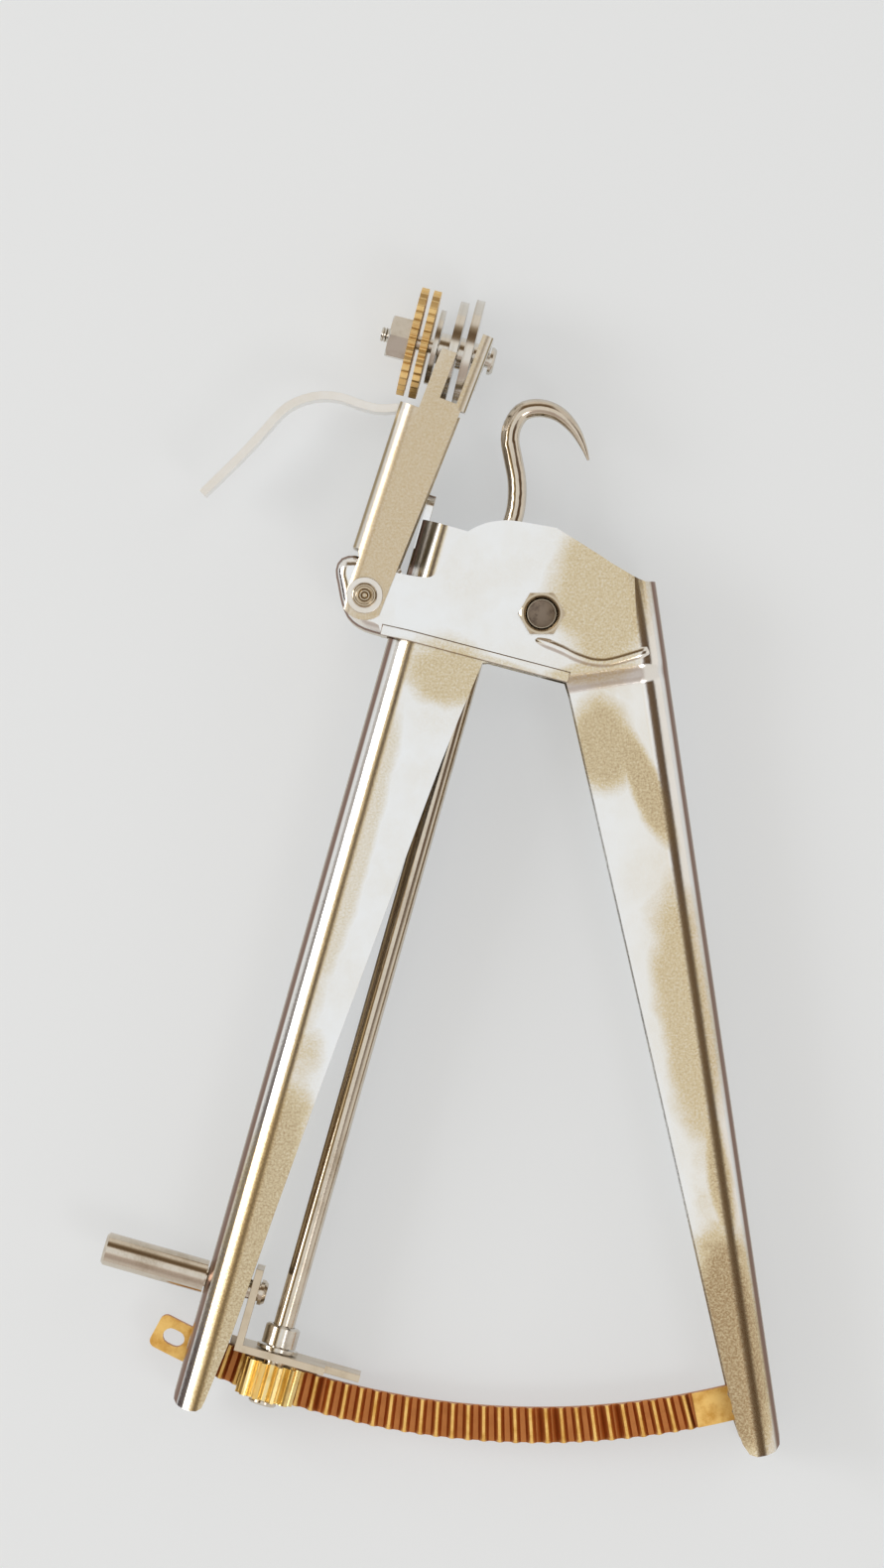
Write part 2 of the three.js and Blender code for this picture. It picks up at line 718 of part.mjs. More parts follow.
// Rounded left end of the head, where the sheet joins the two cheeks
function headEndBlock(halfDepth, bend, inset, openReach) {
  const line = splinePoints(scaled(headEndShares, headReach), headEndSteps);
  const levels = [];
  for (let i = 0; i <= bendSteps; i++) {
    const angle = (90 - 90 * i / bendSteps) * radians;
    levels.push([bend * (1 - Math.cos(angle)), halfDepth - bend + bend * Math.sin(angle)]);
  }
  const mirrored = [...levels].reverse().map(([shift, z]) => [shift, -z]);
  const rings = [...levels, ...mirrored].map(([shift, z]) => {
    const moved = besideLine(line, inset + shift);
    const first = moved[0];
    const last = moved[moved.length - 1];
    moved.push([last[0] + openReach, last[1]]);
    moved.push([last[0] + openReach, first[1]]);
    return moved.map(([x, y]) => new THREE.Vector3(x, y, z));
  });
  return loft(rings, (ring) => ring.map((point) => new THREE.Vector2(point.x, point.y)));
}

function headRim(side) {
  const inset = besideLine(headFoot, rimBevel);
  const shape = ribbon(inset, rimWidth - 2 * rimBevel, 0);
  const depth = rimHeight;
  const geometry = new THREE.ExtrudeGeometry(shape, {
    depth, bevelEnabled: true, bevelThickness: rimBevel, bevelSize: rimBevel, bevelSegments: 2 });
  const rim = solid(geometry.translate(0, 0, cheekHalfDepth - rimBevel));
  return side > 0 ? rim : rim.mirror([0, 0, 1]);
}

function rightLever() {
  const stations = [{ y: -leverLength - overrun, halfDepth: handleHalfDepth, web: leverWebOffset }];
  for (let i = 0; i <= bendSteps; i++) {
    const share = i / bendSteps;
    const halfDepth = handleHalfDepth + (cheekHalfDepth - handleHalfDepth) * smooth(share);
    stations.push({ y: joggleLength * (share - 1) - joggleTop, halfDepth, web: leverWebOffset });
  }
  stations.push({ y: headReach, halfDepth: cheekHalfDepth, web: leverWebOffset });
  const folded = channel(stations, handleBend, leverWebOffset + headReach + overrun, -1)
    .rotate([0, 0, leverTilt]);
  const low = -cheekHalfDepth - overrun;
  const high = cheekHalfDepth + overrun;
  const grip = plate(leverOutline(), low, high).rotate([0, 0, leverTilt]);
  const plan = plate(headOutline(), low, high).add(grip);
  const endShell = headEndBlock(cheekHalfDepth, headEndBend, 0, seatGap)
    .subtract(headEndBlock(cheekInner, headEndBend - sheet, sheet, handleWidth));
  const passage = box(-handleWebOffset - seatGap, headReach, -headReach, handleTop, -cheekInner, cheekInner)
    .rotate([0, 0, -handleTilt]);
  const springDepth = cheekInner - headEndBend + sheet;
  const springSpace = box(-headWallStart * headReach, 0, armPivotRise, headReach, -springDepth, springDepth);
  const pivotHole = rod(pivotRadius + boreGap, low, high);
  const armHole = rod(armRivetRadius + boreGap, low, high).translate([-armPivotLeft, armPivotRise, 0]);
  return folded.intersect(plan).add(endShell.subtract(passage).subtract(springSpace))
    .add(headRim(1)).add(headRim(-1))
    .subtract(pivotHole).subtract(armHole).subtract(rackRivetHoles());
}

// Rack and its rivets

function rackTooth() {
  const slope = Math.tan(pressureAngle * radians);
  const half = Math.PI * toothModule / 4 - meshBacklash / 2;
  const tip = half - toothModule * slope;
  const root = half + (pitchPlane - rackRoot) * slope;
  const shape = shapeOf([[-root, rackRoot], [root, rackRoot], [tip, rackTip], [-tip, rackTip]]);
  const length = rackWidth + 2 * overrun;
  const geometry = new THREE.ExtrudeGeometry(shape, { depth: length, bevelEnabled: false });
  return solid(geometry).rotate([90, 0, 0]).translate([-rodOffset, length / 2 - meshDrop, 0]);
}

function rackRivetPlaces() {
  return [-1, 1].map((side) => {
    const radius = rackRadius + side * rackRivetSpacing / 2;
    const angle = rackRivetAngle * radians;
    return [radius * Math.sin(angle), -radius * Math.cos(angle)];
  });
}

function rackRivetHoles() {
  const hole = rod(rackRivetRadius + boreGap, -handleHalfDepth - overrun, 0, smallSides);
  const [first, second] = rackRivetPlaces().map(([x, y]) => hole.translate([x, y, 0]));
  return first.add(second);
}

function rack() {
  const tooth = rackTooth();
  const teeth = [];
  for (let i = -rackTeethLeft; i <= rackTeethRight; i++) {
    teeth.push(tooth.rotate([0, 0, i * toothAngle - handleTilt]));
  }
  const band = sector(rackInner, rackOuter, rackLeftEnd, rackRightEnd, -rackBack, rackTip + overrun);
  const base = sector(rackInner, rackOuter, rackLeftEnd, rackRightEnd,
    -rackBack, rackRoot + tipClearance / 2);
  const landHeight = rackTip - rackLandDrop;
  const firstGap = meshAngle - (rackTeethLeft + 1 / 2) * toothAngle;
  const lastGap = meshAngle + (rackTeethRight + 1 / 2) * toothAngle;
  const leftLand = sector(rackInner, rackOuter, rackLeftEnd, firstGap, -rackBack, landHeight);
  const rightLand = sector(rackInner, rackOuter, lastGap, rackRightEnd, -rackBack, landHeight);
  const low = -rackBack - overrun;
  const high = rackTip + overrun;
  const slotReach = (rackSlotLength - rackSlotWidth) / 2;
  const slotEnd = rod(rackSlotWidth / 2, low, high, smallSides);
  const slot = box(-slotReach, slotReach, -rackSlotWidth / 2, rackSlotWidth / 2, low, high)
    .add(slotEnd.translate([-slotReach, 0, 0])).add(slotEnd.translate([slotReach, 0, 0]))
    .translate([0, -rackRadius, 0]).rotate([0, 0, rackSlotAngle]);
  const corner = box(-rackEndRadius - overrun, 0, -rackEndRadius - overrun, 0, low, high)
    .subtract(rod(rackEndRadius, low, high));
  const corners = corner.translate([rackEndRadius, rackEndRadius - rackOuter, 0])
    .add(corner.mirror([0, 1, 0]).translate([rackEndRadius, -rackInner - rackEndRadius, 0]))
    .rotate([0, 0, rackLeftEnd]);
  return wasm.Manifold.union(teeth).intersect(band).add(base).add(leftLand).add(rightLand)
    .subtract(slot).subtract(corners).subtract(rackRivetHoles());
}

function rackRivet([x, y]) {
  const front = rackTip - rackLandDrop + turnGap;
  const back = -handleHalfDepth - turnGap;
  return turned([
    [0, back - rackRivetHeadHeight], [rackRivetHeadRadius, back - rackRivetHeadHeight],
    [rackRivetHeadRadius, back], [rackRivetRadius, back], [rackRivetRadius, front],
    [rackRivetHeadRadius, front],
    [rackRivetHeadRadius, front + rackRivetHeadHeight], [0, front + rackRivetHeadHeight],
  ], smallSides).translate([x, y, 0]);
}

// Spindle: rod with hook, collar and pinion

function hookRod() {
  const outline = scaled(hookShares, hookRise)
    .map(([x, y]) => new THREE.Vector3(x - rodOffset, y + hookBase, rodHeight));
  const curve = new THREE.CatmullRomCurve3(outline);
  const radiusAt = (share) => {
    const taper = Math.max(0, share - hookTaperShare) / (1 - hookTaperShare);
    return hookRadius + (hookTipRadius - hookRadius) * taper ** hookTaperPower;
  };
  const hook = wire(curve.getSpacedPoints(hookSteps), radiusAt, smallSides);
  const low = -meshDrop - pinionFace / 2 - seatGap;
  const top = hookBase + hookShares[0][1] * hookRise + hookRadius;
  const shank = turned([
    [0, low - rodPeenHeight], [rodPeenRadius - rodPeenHeight / 2, low - rodPeenHeight],
    [rodPeenRadius, low - rodPeenHeight / 2], [rodPeenRadius, low], [rodRadius, low],
    [rodRadius, top], [hookRadius, top + (rodRadius - hookRadius)],
    [0, top + (rodRadius - hookRadius)],
  ], smallSides);
  return alongY(shank).translate([-rodOffset, 0, rodHeight]).add(hook);
}

function rodCollar() {
  const low = -bracketTop + bushFlangeHeight + 2 * seatGap;
  const bore = rodRadius + turnGap;
  const high = low + collarHeight;
  return alongY(turned([
    [bore, low], [collarRadius, low], [collarRadius, high - collarBevel], [collarRadius - collarBevel, high],
    [bore, high], [bore, low],
  ], roundSides)).translate([-rodOffset, 0, rodHeight]);
}

// The gap between two teeth, as a rack tooth rolling past leaves it
function pinionGap() {
  const slope = Math.tan(pressureAngle * radians);
  const half = Math.PI * toothModule / 4 + pinionBacklash / 2;
  const depth = toothModule + tipClearance;
  const tip = half - depth * slope;
  const mouth = half + 2 * toothModule * slope;
  const face = pinionFace / 2 + overrun;
  const cutter = solid(new THREE.ExtrudeGeometry(
    shapeOf([[-mouth, -2 * toothModule], [mouth, -2 * toothModule], [tip, depth], [-tip, depth]]),
    { depth: 2 * face, bevelEnabled: false })).translate([0, -pitchRadius, -face]);
  const cuts = [];
  for (let i = -rollSteps; i <= rollSteps; i++) {
    const roll = i / rollSteps * rollReach;
    cuts.push(cutter.translate([pitchRadius * roll * radians, 0, 0]).rotate([0, 0, -roll]));
  }
  return wasm.Manifold.union(cuts);
}

function pinion() {
  const tipRadius = pitchRadius + toothModule - meshBacklash / 2;
  const blank = rod(tipRadius, -pinionFace / 2, pinionFace / 2, pinionTeeth * bendSteps);
  const bore = rod(rodRadius + turnGap, -pinionFace, pinionFace);
  const gap = pinionGap();
  const gaps = Array.from({ length: pinionTeeth }, (_, i) => gap.rotate([0, 0, fullTurn * i / pinionTeeth]));
  return blank.subtract(bore).subtract(wasm.Manifold.union(gaps))
    .rotate([90, 0, 0]).translate([-rodOffset, -meshDrop, rodHeight]);
}

// Tie arm

function armOutline() {
  const right = (y) => armRight + (armRightTop - armRight) * Math.max(0, y) / armLength;
  const shape = new THREE.Shape();
  shape.moveTo(right(0), 0);
  shape.lineTo(right(earFoot), earFoot);
  shape.lineTo(earRight - earBend, earFoot);
  shape.lineTo(earRight - earBend, earTop - sheet);
  shape.quadraticCurveTo(forkRight, earTop - sheet, forkRight, armLength);
  shape.lineTo(forkRight, forkBottom);
  shape.lineTo(-forkLeft, forkBottom);
  shape.lineTo(-forkLeft, armLength);
  shape.lineTo(-armLeft, armLength);
  shape.quadraticCurveTo(-armLeft - seatGap, armLength, -armLeft - seatGap, armLength - sheet);
  shape.lineTo(-armLeft - seatGap, armWebTop);
  shape.lineTo(-armWebOffsetTop - overrun, armWebTop);
  shape.lineTo(-armWebOffsetTop - overrun, armWebFoot);
  shape.lineTo(-armLeft - sheet, armWebFoot);
  shape.lineTo(-armLeft - sheet / 2, armWebFoot - sheet);
  shape.lineTo(-armLeft - sheet / 2, 0);
  const footArcEnd = 2 * Math.PI - Math.acos(armRight / armFootRadius);
  shape.absarc(0, 0, armFootRadius, armFootArcStart * radians, footArcEnd, false);
  return shape;
}

function armEar() {
  const bendX = earRight - earBend;
  const bendZ = armHalfDepth - earBend;
  const section = (low) => {
    const points = [[forkRight, armHalfDepth]];
    for (let i = 0; i <= bendSteps; i++) {
      const angle = (90 - 90 * i / bendSteps) * radians;
      points.push([bendX + earBend * Math.cos(angle), bendZ + earBend * Math.sin(angle)]);
    }
    points.push([earRight, low]);
    points.push([earRight - sheet, low]);
    const inner = earBend - sheet;
    for (let i = 0; i <= bendSteps; i++) {
      const angle = 90 * i / bendSteps * radians;
      points.push([bendX + inner * Math.cos(angle), bendZ + inner * Math.sin(angle)]);
    }
    points.push([forkRight, armInner]);
    return shapeOf(points);
  };
  const fold = (low, foot, top) => {
    const geometry = new THREE.ExtrudeGeometry(section(low), { depth: top - foot, bevelEnabled: false });
    return solid(geometry).rotate([90, 0, 0]).translate([0, top, 0]);
  };
  const wallLow = armHalfDepth - earWallDepth;
  return fold(armHalfDepth - earApronDepth, earFoot, earTop).add(fold(wallLow, earWallFoot, earTop));
}

function tieArm() {
  const webAt = (y) => {
    const share = (y - armWebFoot) / (armWebTop - armWebFoot);
    return armWebOffsetFoot + (armWebOffsetTop - armWebOffsetFoot) * share;
  };
  const stations = [-armFootRadius - overrun, earTop + overrun]
    .map((y) => ({ y, halfDepth: armHalfDepth, web: webAt(y) }));
  const folded = channel(stations, armBend, armWebOffsetTop + earRight + overrun, 1);
  const outline = plate(armOutline(), -armHalfDepth - overrun, armHalfDepth + overrun);
  const tongue = plate(ribbon(splinePoints(scaled(tongueShares, armLength), tongueSteps),
    tongueThickness / 2, tongueThickness / 2), -tongueHalfWidth, tongueHalfWidth);
  const footSpace = box(-armWebOffsetTop - overrun, armFootRadius + overrun,
    -armFootRadius - overrun, armWebFoot, -armInner, armInner);
  const pivotHole = rod(armRivetRadius + boreGap, -armHalfDepth - overrun, armHalfDepth + overrun);
  const axleHole = onAxle(rod(axleRadius + boreGap, earRight, earRight + wheelLeft + 2 * overrun));
  return folded.intersect(outline).subtract(footSpace).add(armEar()).add(tongue)
    .subtract(pivotHole).subtract(axleHole);
}

// Rivet of the tie arm, with its washer, spacer and spring

function armRivet() {
  const front = armHalfDepth + 2 * turnGap + armWasherHeight;
  const back = -armHalfDepth - turnGap;
  const top = front + armRivetHeadHeight;
  return turned([
    [0, back - armRivetHeadHeight], [armWasherRadius, back - armRivetHeadHeight], [armWasherRadius, back],
    [armRivetRadius, back], [armRivetRadius, front], [armRivetHeadRadius, front],
    [armRivetHeadRadius, top - armRivetHeadHeight / 2], [(armRivetHeadRadius + armRivetHoleRadius) / 2, top],
    [armRivetHoleRadius, top - armRivetHeadHeight / 2], [armRivetHoleRadius, top - armRivetHoleDepth],
    [0, top - armRivetHoleDepth],
  ], roundSides);
}

function armWasher() {
  const low = armHalfDepth + turnGap;
  return tube(armRivetRadius + turnGap, armWasherRadius, low, low + armWasherHeight);
}

function armSpacer() {
  return tube(armRivetRadius + boreGap, armSpacerRadius, turnGap - cheekInner, cheekInner - turnGap);
}

function armSpring() {
  const from = armTilt - quarterTurn;
  const to = fullTurn * armSpringTurns - halfTurn;
  const points = torsionSpring(armSpringRadius, armSpringHeight, from, to, armSpringShortLeg, 0);
  const last = points.pop();
  points.push(last.clone().add(new THREE.Vector3(0, armSpringLongLeg, 0)));
  reportLeastGap('arm_spring', points, armSpringWire);
  return wire(points, () => armSpringWire / 2, wireSides);
}

// Feed wheels, discs and axle: made about z, then laid along the axle of the arm

function onAxle(manifold) {
  return alongX(manifold).rotate([0, 0, wheelTurn]).translate([-wheelLeft, wheelRise, 0]);
}

function feedWheel(place) {
  const points = [];
  for (let i = 0; i < feedWheelTeeth; i++) {
    const step = fullTurn / feedWheelTeeth;
    const put = (radius, share) => points.push([
      radius * Math.cos((i + share) * step * radians), radius * Math.sin((i + share) * step * radians)]);
    put(feedWheelRadius - feedToothDepth, 0);
    put(feedWheelRadius, 1 / 4);
    put(feedWheelRadius, 2 / 4);
    put(feedWheelRadius - feedToothDepth, 3 / 4);
  }
  const low = place - feedWheelThickness / 2;
  const high = low + feedWheelThickness;
  const bore = rod(axleRadius + boreGap, low - overrun, high + overrun, smallSides);
  return plate(shapeOf(points), low, high).subtract(bore);
}

function disc(place, thickness, radius) {
  return tube(axleRadius + boreGap, radius, place - thickness / 2, place + thickness / 2, 2 * smallSides);
}

const wheelStackLeft = -feedWheelThickness / 2;
const guideDiscLeft = guideDiscPlace - guideDiscThickness / 2;
const guideDiscRight = guideDiscPlace + guideDiscPitch + guideDiscThickness / 2;
const earPlace = (earRight + wheelLeft) / Math.cos(wheelTurn * radians);

function wheelAxle() {
  const left = wheelStackLeft - turnGap - wheelNutHeight - axleTail;
  const right = earPlace + seatGap + axleHeadRadius * Math.sin(wheelTurn * radians);
  return turned([
    [0, left], [axleRadius - axleTail / 4, left], [axleRadius, left + axleTail / 4], [axleRadius, right],
    [axleHeadRadius, right], [axleHeadRadius, right + axleHeadHeight / 2],
    [axleHeadRadius - axleHeadHeight / 2, right + axleHeadHeight], [0, right + axleHeadHeight],
  ], smallSides);
}

function wheelNut() {
  const high = wheelStackLeft - turnGap;
  return hexNut(wheelNutFlats, axleRadius + boreGap, high - wheelNutHeight, high);
}

function wheelSpacer() {
  const low = sideDiscPlace + sideDiscThickness / 2 + turnGap;
  return tube(axleRadius + boreGap, wheelHubRadius, low, guideDiscLeft - turnGap);
}

function discSpacer() {
  const low = guideDiscPlace + guideDiscThickness / 2 + turnGap;
  const high = guideDiscPlace + guideDiscPitch - guideDiscThickness / 2 - turnGap;
  return tube(axleRadius + boreGap, wheelHubRadius, low, high);
}

function endSpacer() {
  return tube(axleRadius + boreGap, axleHeadRadius, guideDiscRight + turnGap, earPlace - sheet - 2 * seatGap);
}

// Assembly

const tool = new THREE.Group();

const handleGroup = new THREE.Group();
handleGroup.rotation.z = -handleTilt * radians;
handleGroup.add(piece('left_handle', leftHandle(), materials.nickel));
handleGroup.add(piece('bearing_bracket', bearingBracket(), materials.steel));
handleGroup.add(piece('lower_bush', lowerBush(), materials.steel));
handleGroup.add(piece('upper_bearing_plate', upperBearingPlate(), materials.steel));
handleGroup.add(piece('upper_bush', upperBush(), materials.steel));
handleGroup.add(piece('reel_pin', reelPin(), materials.nickel));
handleGroup.add(piece('hook_rod', hookRod(), materials.steel));
handleGroup.add(piece('rod_collar', rodCollar(), materials.steel));
handleGroup.add(piece('pinion', pinion(), materials.brass));

const pivotGroup = new THREE.Group();
pivotGroup.add(piece('pivot_bolt', pivotBolt(), materials.steel));
pivotGroup.add(piece('pivot_nut', pivotNut(), materials.steel));
pivotGroup.add(piece('pivot_spacer', pivotSpacer(), materials.steel));
pivotGroup.add(piece('main_spring', mainSpring(), materials.darkSteel));

const leverGroup = new THREE.Group();
leverGroup.add(piece('right_lever', rightLever(), materials.nickel));
leverGroup.add(piece('rack', rack(), materials.rackBrass));
rackRivetPlaces().forEach((place, i) => {
  leverGroup.add(piece(`rack_rivet_${i + 1}`, rackRivet(place), materials.steel));
});

const armPivot = new THREE.Group();
armPivot.position.set(-armPivotLeft, armPivotRise, 0);
armPivot.add(piece('arm_rivet', armRivet(), materials.steel));
armPivot.add(piece('arm_washer', armWasher(), materials.nickel));
armPivot.add(piece('arm_spacer', armSpacer(), materials.steel));

const armGroup = new THREE.Group();
armGroup.rotation.z = -armTilt * radians;
armGroup.add(piece('arm_spring', armSpring(), materials.darkSteel));
armGroup.add(piece('tie_arm', tieArm(), materials.nickel));
armGroup.add(piece('feed_wheel_1', onAxle(feedWheel(0)), materials.brass));
armGroup.add(piece('feed_wheel_2', onAxle(feedWheel(feedWheelPitch)), materials.brass));
const sideDisc = disc(sideDiscPlace, sideDiscThickness, sideDiscRadius);
armGroup.add(piece('side_disc', onAxle(sideDisc), materials.steel));
[guideDiscRadius, forkDiscRadius].forEach((radius, i) => {
  const guide = disc(guideDiscPlace + i * guideDiscPitch, guideDiscThickness, radius);
  armGroup.add(piece(`guide_disc_${i + 1}`, onAxle(guide), materials.darkSteel));
});
armGroup.add(piece('wheel_axle', onAxle(wheelAxle()), materials.steel));
armGroup.add(piece('wheel_nut', onAxle(wheelNut()), materials.steel));
armGroup.add(piece('wheel_spacer', onAxle(wheelSpacer()), materials.steel));
armGroup.add(piece('disc_spacer', onAxle(discSpacer()), materials.steel));
armGroup.add(piece('end_spacer', onAxle(endSpacer()), materials.steel));
armPivot.add(armGroup);

tool.add(handleGroup, pivotGroup, leverGroup, armPivot);

// The origin is the middle of the underside of the whole tool's box
tool.updateMatrixWorld(true);
const bounds = new THREE.Box3().setFromObject(tool, true);
const middle = bounds.getCenter(new THREE.Vector3());
tool.position.set(-middle.x, -middle.y, -bounds.min.z);

export default tool;
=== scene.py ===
"""Looks of a plant tying tool: nickel-plated sheet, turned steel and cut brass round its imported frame.

Sizes in the classes are millimetres, and every mesh is made in metres in the frame's own axes.
"""

from __future__ import annotations

import json
import logging
import math
from dataclasses import dataclass, field, replace
from enum import Enum
from functools import cache
from typing import Any, Iterable, Sequence

import bmesh
import bpy
from mathutils import Matrix, Vector

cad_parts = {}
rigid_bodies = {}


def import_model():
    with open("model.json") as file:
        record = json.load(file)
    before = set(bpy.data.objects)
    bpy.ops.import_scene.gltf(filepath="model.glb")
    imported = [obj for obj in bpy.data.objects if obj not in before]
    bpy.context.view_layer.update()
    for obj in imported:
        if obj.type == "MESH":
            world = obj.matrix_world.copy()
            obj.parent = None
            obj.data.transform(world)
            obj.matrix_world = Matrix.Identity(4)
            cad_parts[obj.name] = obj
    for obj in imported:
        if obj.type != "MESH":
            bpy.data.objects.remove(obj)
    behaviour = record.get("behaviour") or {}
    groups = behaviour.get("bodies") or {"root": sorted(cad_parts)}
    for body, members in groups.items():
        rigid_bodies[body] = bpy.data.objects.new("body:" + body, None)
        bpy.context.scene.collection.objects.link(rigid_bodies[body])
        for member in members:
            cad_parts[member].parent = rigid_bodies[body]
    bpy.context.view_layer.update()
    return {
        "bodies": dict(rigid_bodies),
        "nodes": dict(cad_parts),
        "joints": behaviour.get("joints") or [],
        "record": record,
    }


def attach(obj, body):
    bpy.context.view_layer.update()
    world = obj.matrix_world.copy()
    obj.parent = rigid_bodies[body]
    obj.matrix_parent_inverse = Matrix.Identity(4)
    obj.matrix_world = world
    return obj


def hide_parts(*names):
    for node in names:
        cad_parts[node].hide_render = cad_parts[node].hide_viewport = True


LOG = logging.getLogger("tying_tool")
MM = 0.001
SAME_POINT = 0.002 * MM
FLAT_ANGLE = 0.6
COPY_SHARP = 32.0
TURNED_SHARP = 30.0
NUT_SHARP = 24.0
BEVEL_STEPS = 2
FACE_WEIGHT = 100
LATHE_SIDES = 48


# Nodes and colours

Pair = tuple[float, float]
Triple = tuple[float, float, float]
Tree = bpy.types.NodeTree
Source = bpy.types.Node | bpy.types.NodeSocket
Shape = bmesh.types.BMesh
Thing = bpy.types.Object
MATH = "ShaderNodeMath"
VECTOR_MATH = "ShaderNodeVectorMath"
MAP_RANGE = "ShaderNodeMapRange"
MIX = "ShaderNodeMix"
SMOOTH = {"interpolation_type": "SMOOTHSTEP"}
IN_COLOUR = {"data_type": "RGBA"}
TIMES = {"operation": "MULTIPLY"}
LARGER = {"operation": "MAXIMUM"}


def linear(code: str) -> tuple[float, float, float, float]:
    """Turn an sRGB hex code into a linear colour.

    Args:
        code: Six hex digits after a hash sign.

    Returns:
        Linear red, green and blue, with an alpha of one.
    """
    parts = [int(code[i : i + 2], 16) / 255 for i in (1, 3, 5)]
    values = [p / 12.92 if p <= 0.04045 else ((p + 0.055) / 1.055) ** 2.4 for p in parts]
    return (*values, 1.0)


def per_metre(size: float) -> float:
    """Give how many features of so many millimetres stand side by side in a metre."""
    return 1 / (size * MM)


def add_node(tree: Tree, kind: str, given: dict[str | int, Any] | None = None) -> bpy.types.Node:
    """Add a node with its settings and links.

    Args:
        tree: Node tree that gets the node.
        kind: Blender's own name of the node's type.
        given: Properties, socket values and links by name or number; a property comes before a
            socket. An output socket feeds that input, and so does a node, with the first of its
            outputs in use.

    Returns:
        The new node.
    """
    node = tree.nodes.new(kind)
    for name, value in (given or {}).items():
        if isinstance(value, bpy.types.Node):
            value = next(socket for socket in value.outputs if socket.enabled)
        if isinstance(value, bpy.types.NodeSocket):
            tree.links.new(value, node.inputs[name])
        elif isinstance(name, str) and hasattr(node, name):
            setattr(node, name, value)
        else:
            node.inputs[name].default_value = value
    return node


def set_ramp(node: bpy.types.Node, stops: Sequence[tuple[float, str]]) -> bpy.types.Node:
    """Give a colour ramp its stops.

    Args:
        node: A colour ramp node.
        stops: Places from zero to one, each with its hex colour.

    Returns:
        The same node.
    """
    ramp = node.color_ramp
    while len(ramp.elements) > len(stops):
        ramp.elements.remove(ramp.elements[-1])
    while len(ramp.elements) < len(stops):
        ramp.elements.new(1.0)
    for element, (place, code) in zip(ramp.elements, stops):
        element.position = place
        element.color = linear(code)
    return node


def span(low: float, high: float) -> dict[str, float]:
    """Give the two ends of the values that a Map Range node takes in."""
    return {"From Min": low, "From Max": high}


def upward(tree: Tree) -> bpy.types.NodeSocket:
    """Give how far the surface looks up, from minus one to one."""
    face = add_node(tree, "ShaderNodeTexCoord").outputs["Normal"]
    return add_node(tree, "ShaderNodeSeparateXYZ", {"Vector": face}).outputs["Z"]


# Finishes


@dataclass(frozen=True)
class Finish:
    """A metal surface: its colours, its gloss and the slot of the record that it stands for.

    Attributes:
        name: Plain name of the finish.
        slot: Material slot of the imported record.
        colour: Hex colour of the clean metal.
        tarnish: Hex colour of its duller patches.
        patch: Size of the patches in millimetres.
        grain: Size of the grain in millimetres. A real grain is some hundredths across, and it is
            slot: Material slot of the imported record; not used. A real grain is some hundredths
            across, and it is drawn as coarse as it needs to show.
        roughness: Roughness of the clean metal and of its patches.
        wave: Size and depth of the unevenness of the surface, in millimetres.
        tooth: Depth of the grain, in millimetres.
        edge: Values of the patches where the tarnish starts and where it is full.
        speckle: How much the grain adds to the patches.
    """

    name: str
    slot: str
    colour: str
    tarnish: str
    patch: float = 12.0
    grain: float = 0.6
    roughness: Pair = (0.2, 0.32)
    wave: Pair = (26.0, 0.12)
    tooth: float = 0.006
    edge: Pair = (0.42, 0.95)
    speckle: float = 0.25

    def coordinates(self, tree: Tree) -> Source:
        """Give the place on the piece that the patterns follow, in metres."""
        return add_node(tree, "ShaderNodeTexCoord").outputs["Object"]

    def tarnish_and_shade(self, tree: Tree, patches: Source, grain: Source) -> Source:
        """Say where the tarnish is.

        Args:
            tree: Node tree of the material.
            patches: Slow noise.
            grain: Fine noise.

        Returns:
            Value that runs from zero on clean metal to one on full tarnish.
        """
        both = add_node(
            tree, MATH, {"operation": "MULTIPLY_ADD", 1: self.speckle, 0: grain, 2: patches})
        start, full = (limit + self.speckle / 2 for limit in self.edge)
        return add_node(tree, MAP_RANGE, {**SMOOTH, **span(start, full), "Value": both})

    def colours(self, tree: Tree, share: Source) -> Source:
        """Mix the two colours by how much of the tarnish shows."""
        return add_node(
            tree, MIX, {**IN_COLOUR, 6: linear(self.colour), 7: linear(self.tarnish), 0: share})

    def material(self) -> bpy.types.Material:
        """Build the material.

        Returns:
            The finished material.
        """
        made = bpy.data.materials.new(self.name)
        made.use_nodes = True
        tree = made.node_tree
        tree.nodes.clear()
        place = self.coordinates(tree)
        noises = ((self.patch, 4.0, 0.6), (self.grain, 3.0, 0.7), (self.wave[0], 1.0, 0.4))
        patches, grain, waves = (
            add_node(
                tree, "ShaderNodeTexNoise",
                {"Scale": per_metre(size), "Detail": detail, "Roughness": rough, "Vector": place})
            for size, detail, rough in noises)
        share = self.tarnish_and_shade(tree, patches, grain)
        clean, dull = self.roughness
        gloss = add_node(tree, MAP_RANGE, {"To Min": clean, "To Max": dull, "Value": share})
        wavy = add_node(
            tree, "ShaderNodeBump",
            {"Strength": 1.0, "Distance": self.wave[1] * MM, "Height": waves})
        toothed = add_node(
            tree, "ShaderNodeBump",
            {"Strength": 1.0, "Distance": self.tooth * MM, "Height": grain, "Normal": wavy})
        shader = add_node(
            tree, "ShaderNodeBsdfPrincipled",
            {
                "Metallic": 1.0, "Base Color": self.colours(tree, share), "Roughness": gloss,
                "Normal": toothed,
            })
        add_node(tree, "ShaderNodeOutputMaterial", {"Surface": shader})
        return made


@dataclass(frozen=True)
class Spot:
    """An oval area of a sheet that has gone warmer than the rest.

    Attributes:
        x: How far its middle lies to the right of the main pivot, in millimetres.
        y: How far it lies above the pivot.
        across: Half its width.
        along: Half its height.
        lean: How far its top leans to the right, in degrees.
        strength: How warm it is, up to one.
    """

    x: float
    y: float
    across: float
    along: float
    lean: float
    strength: float
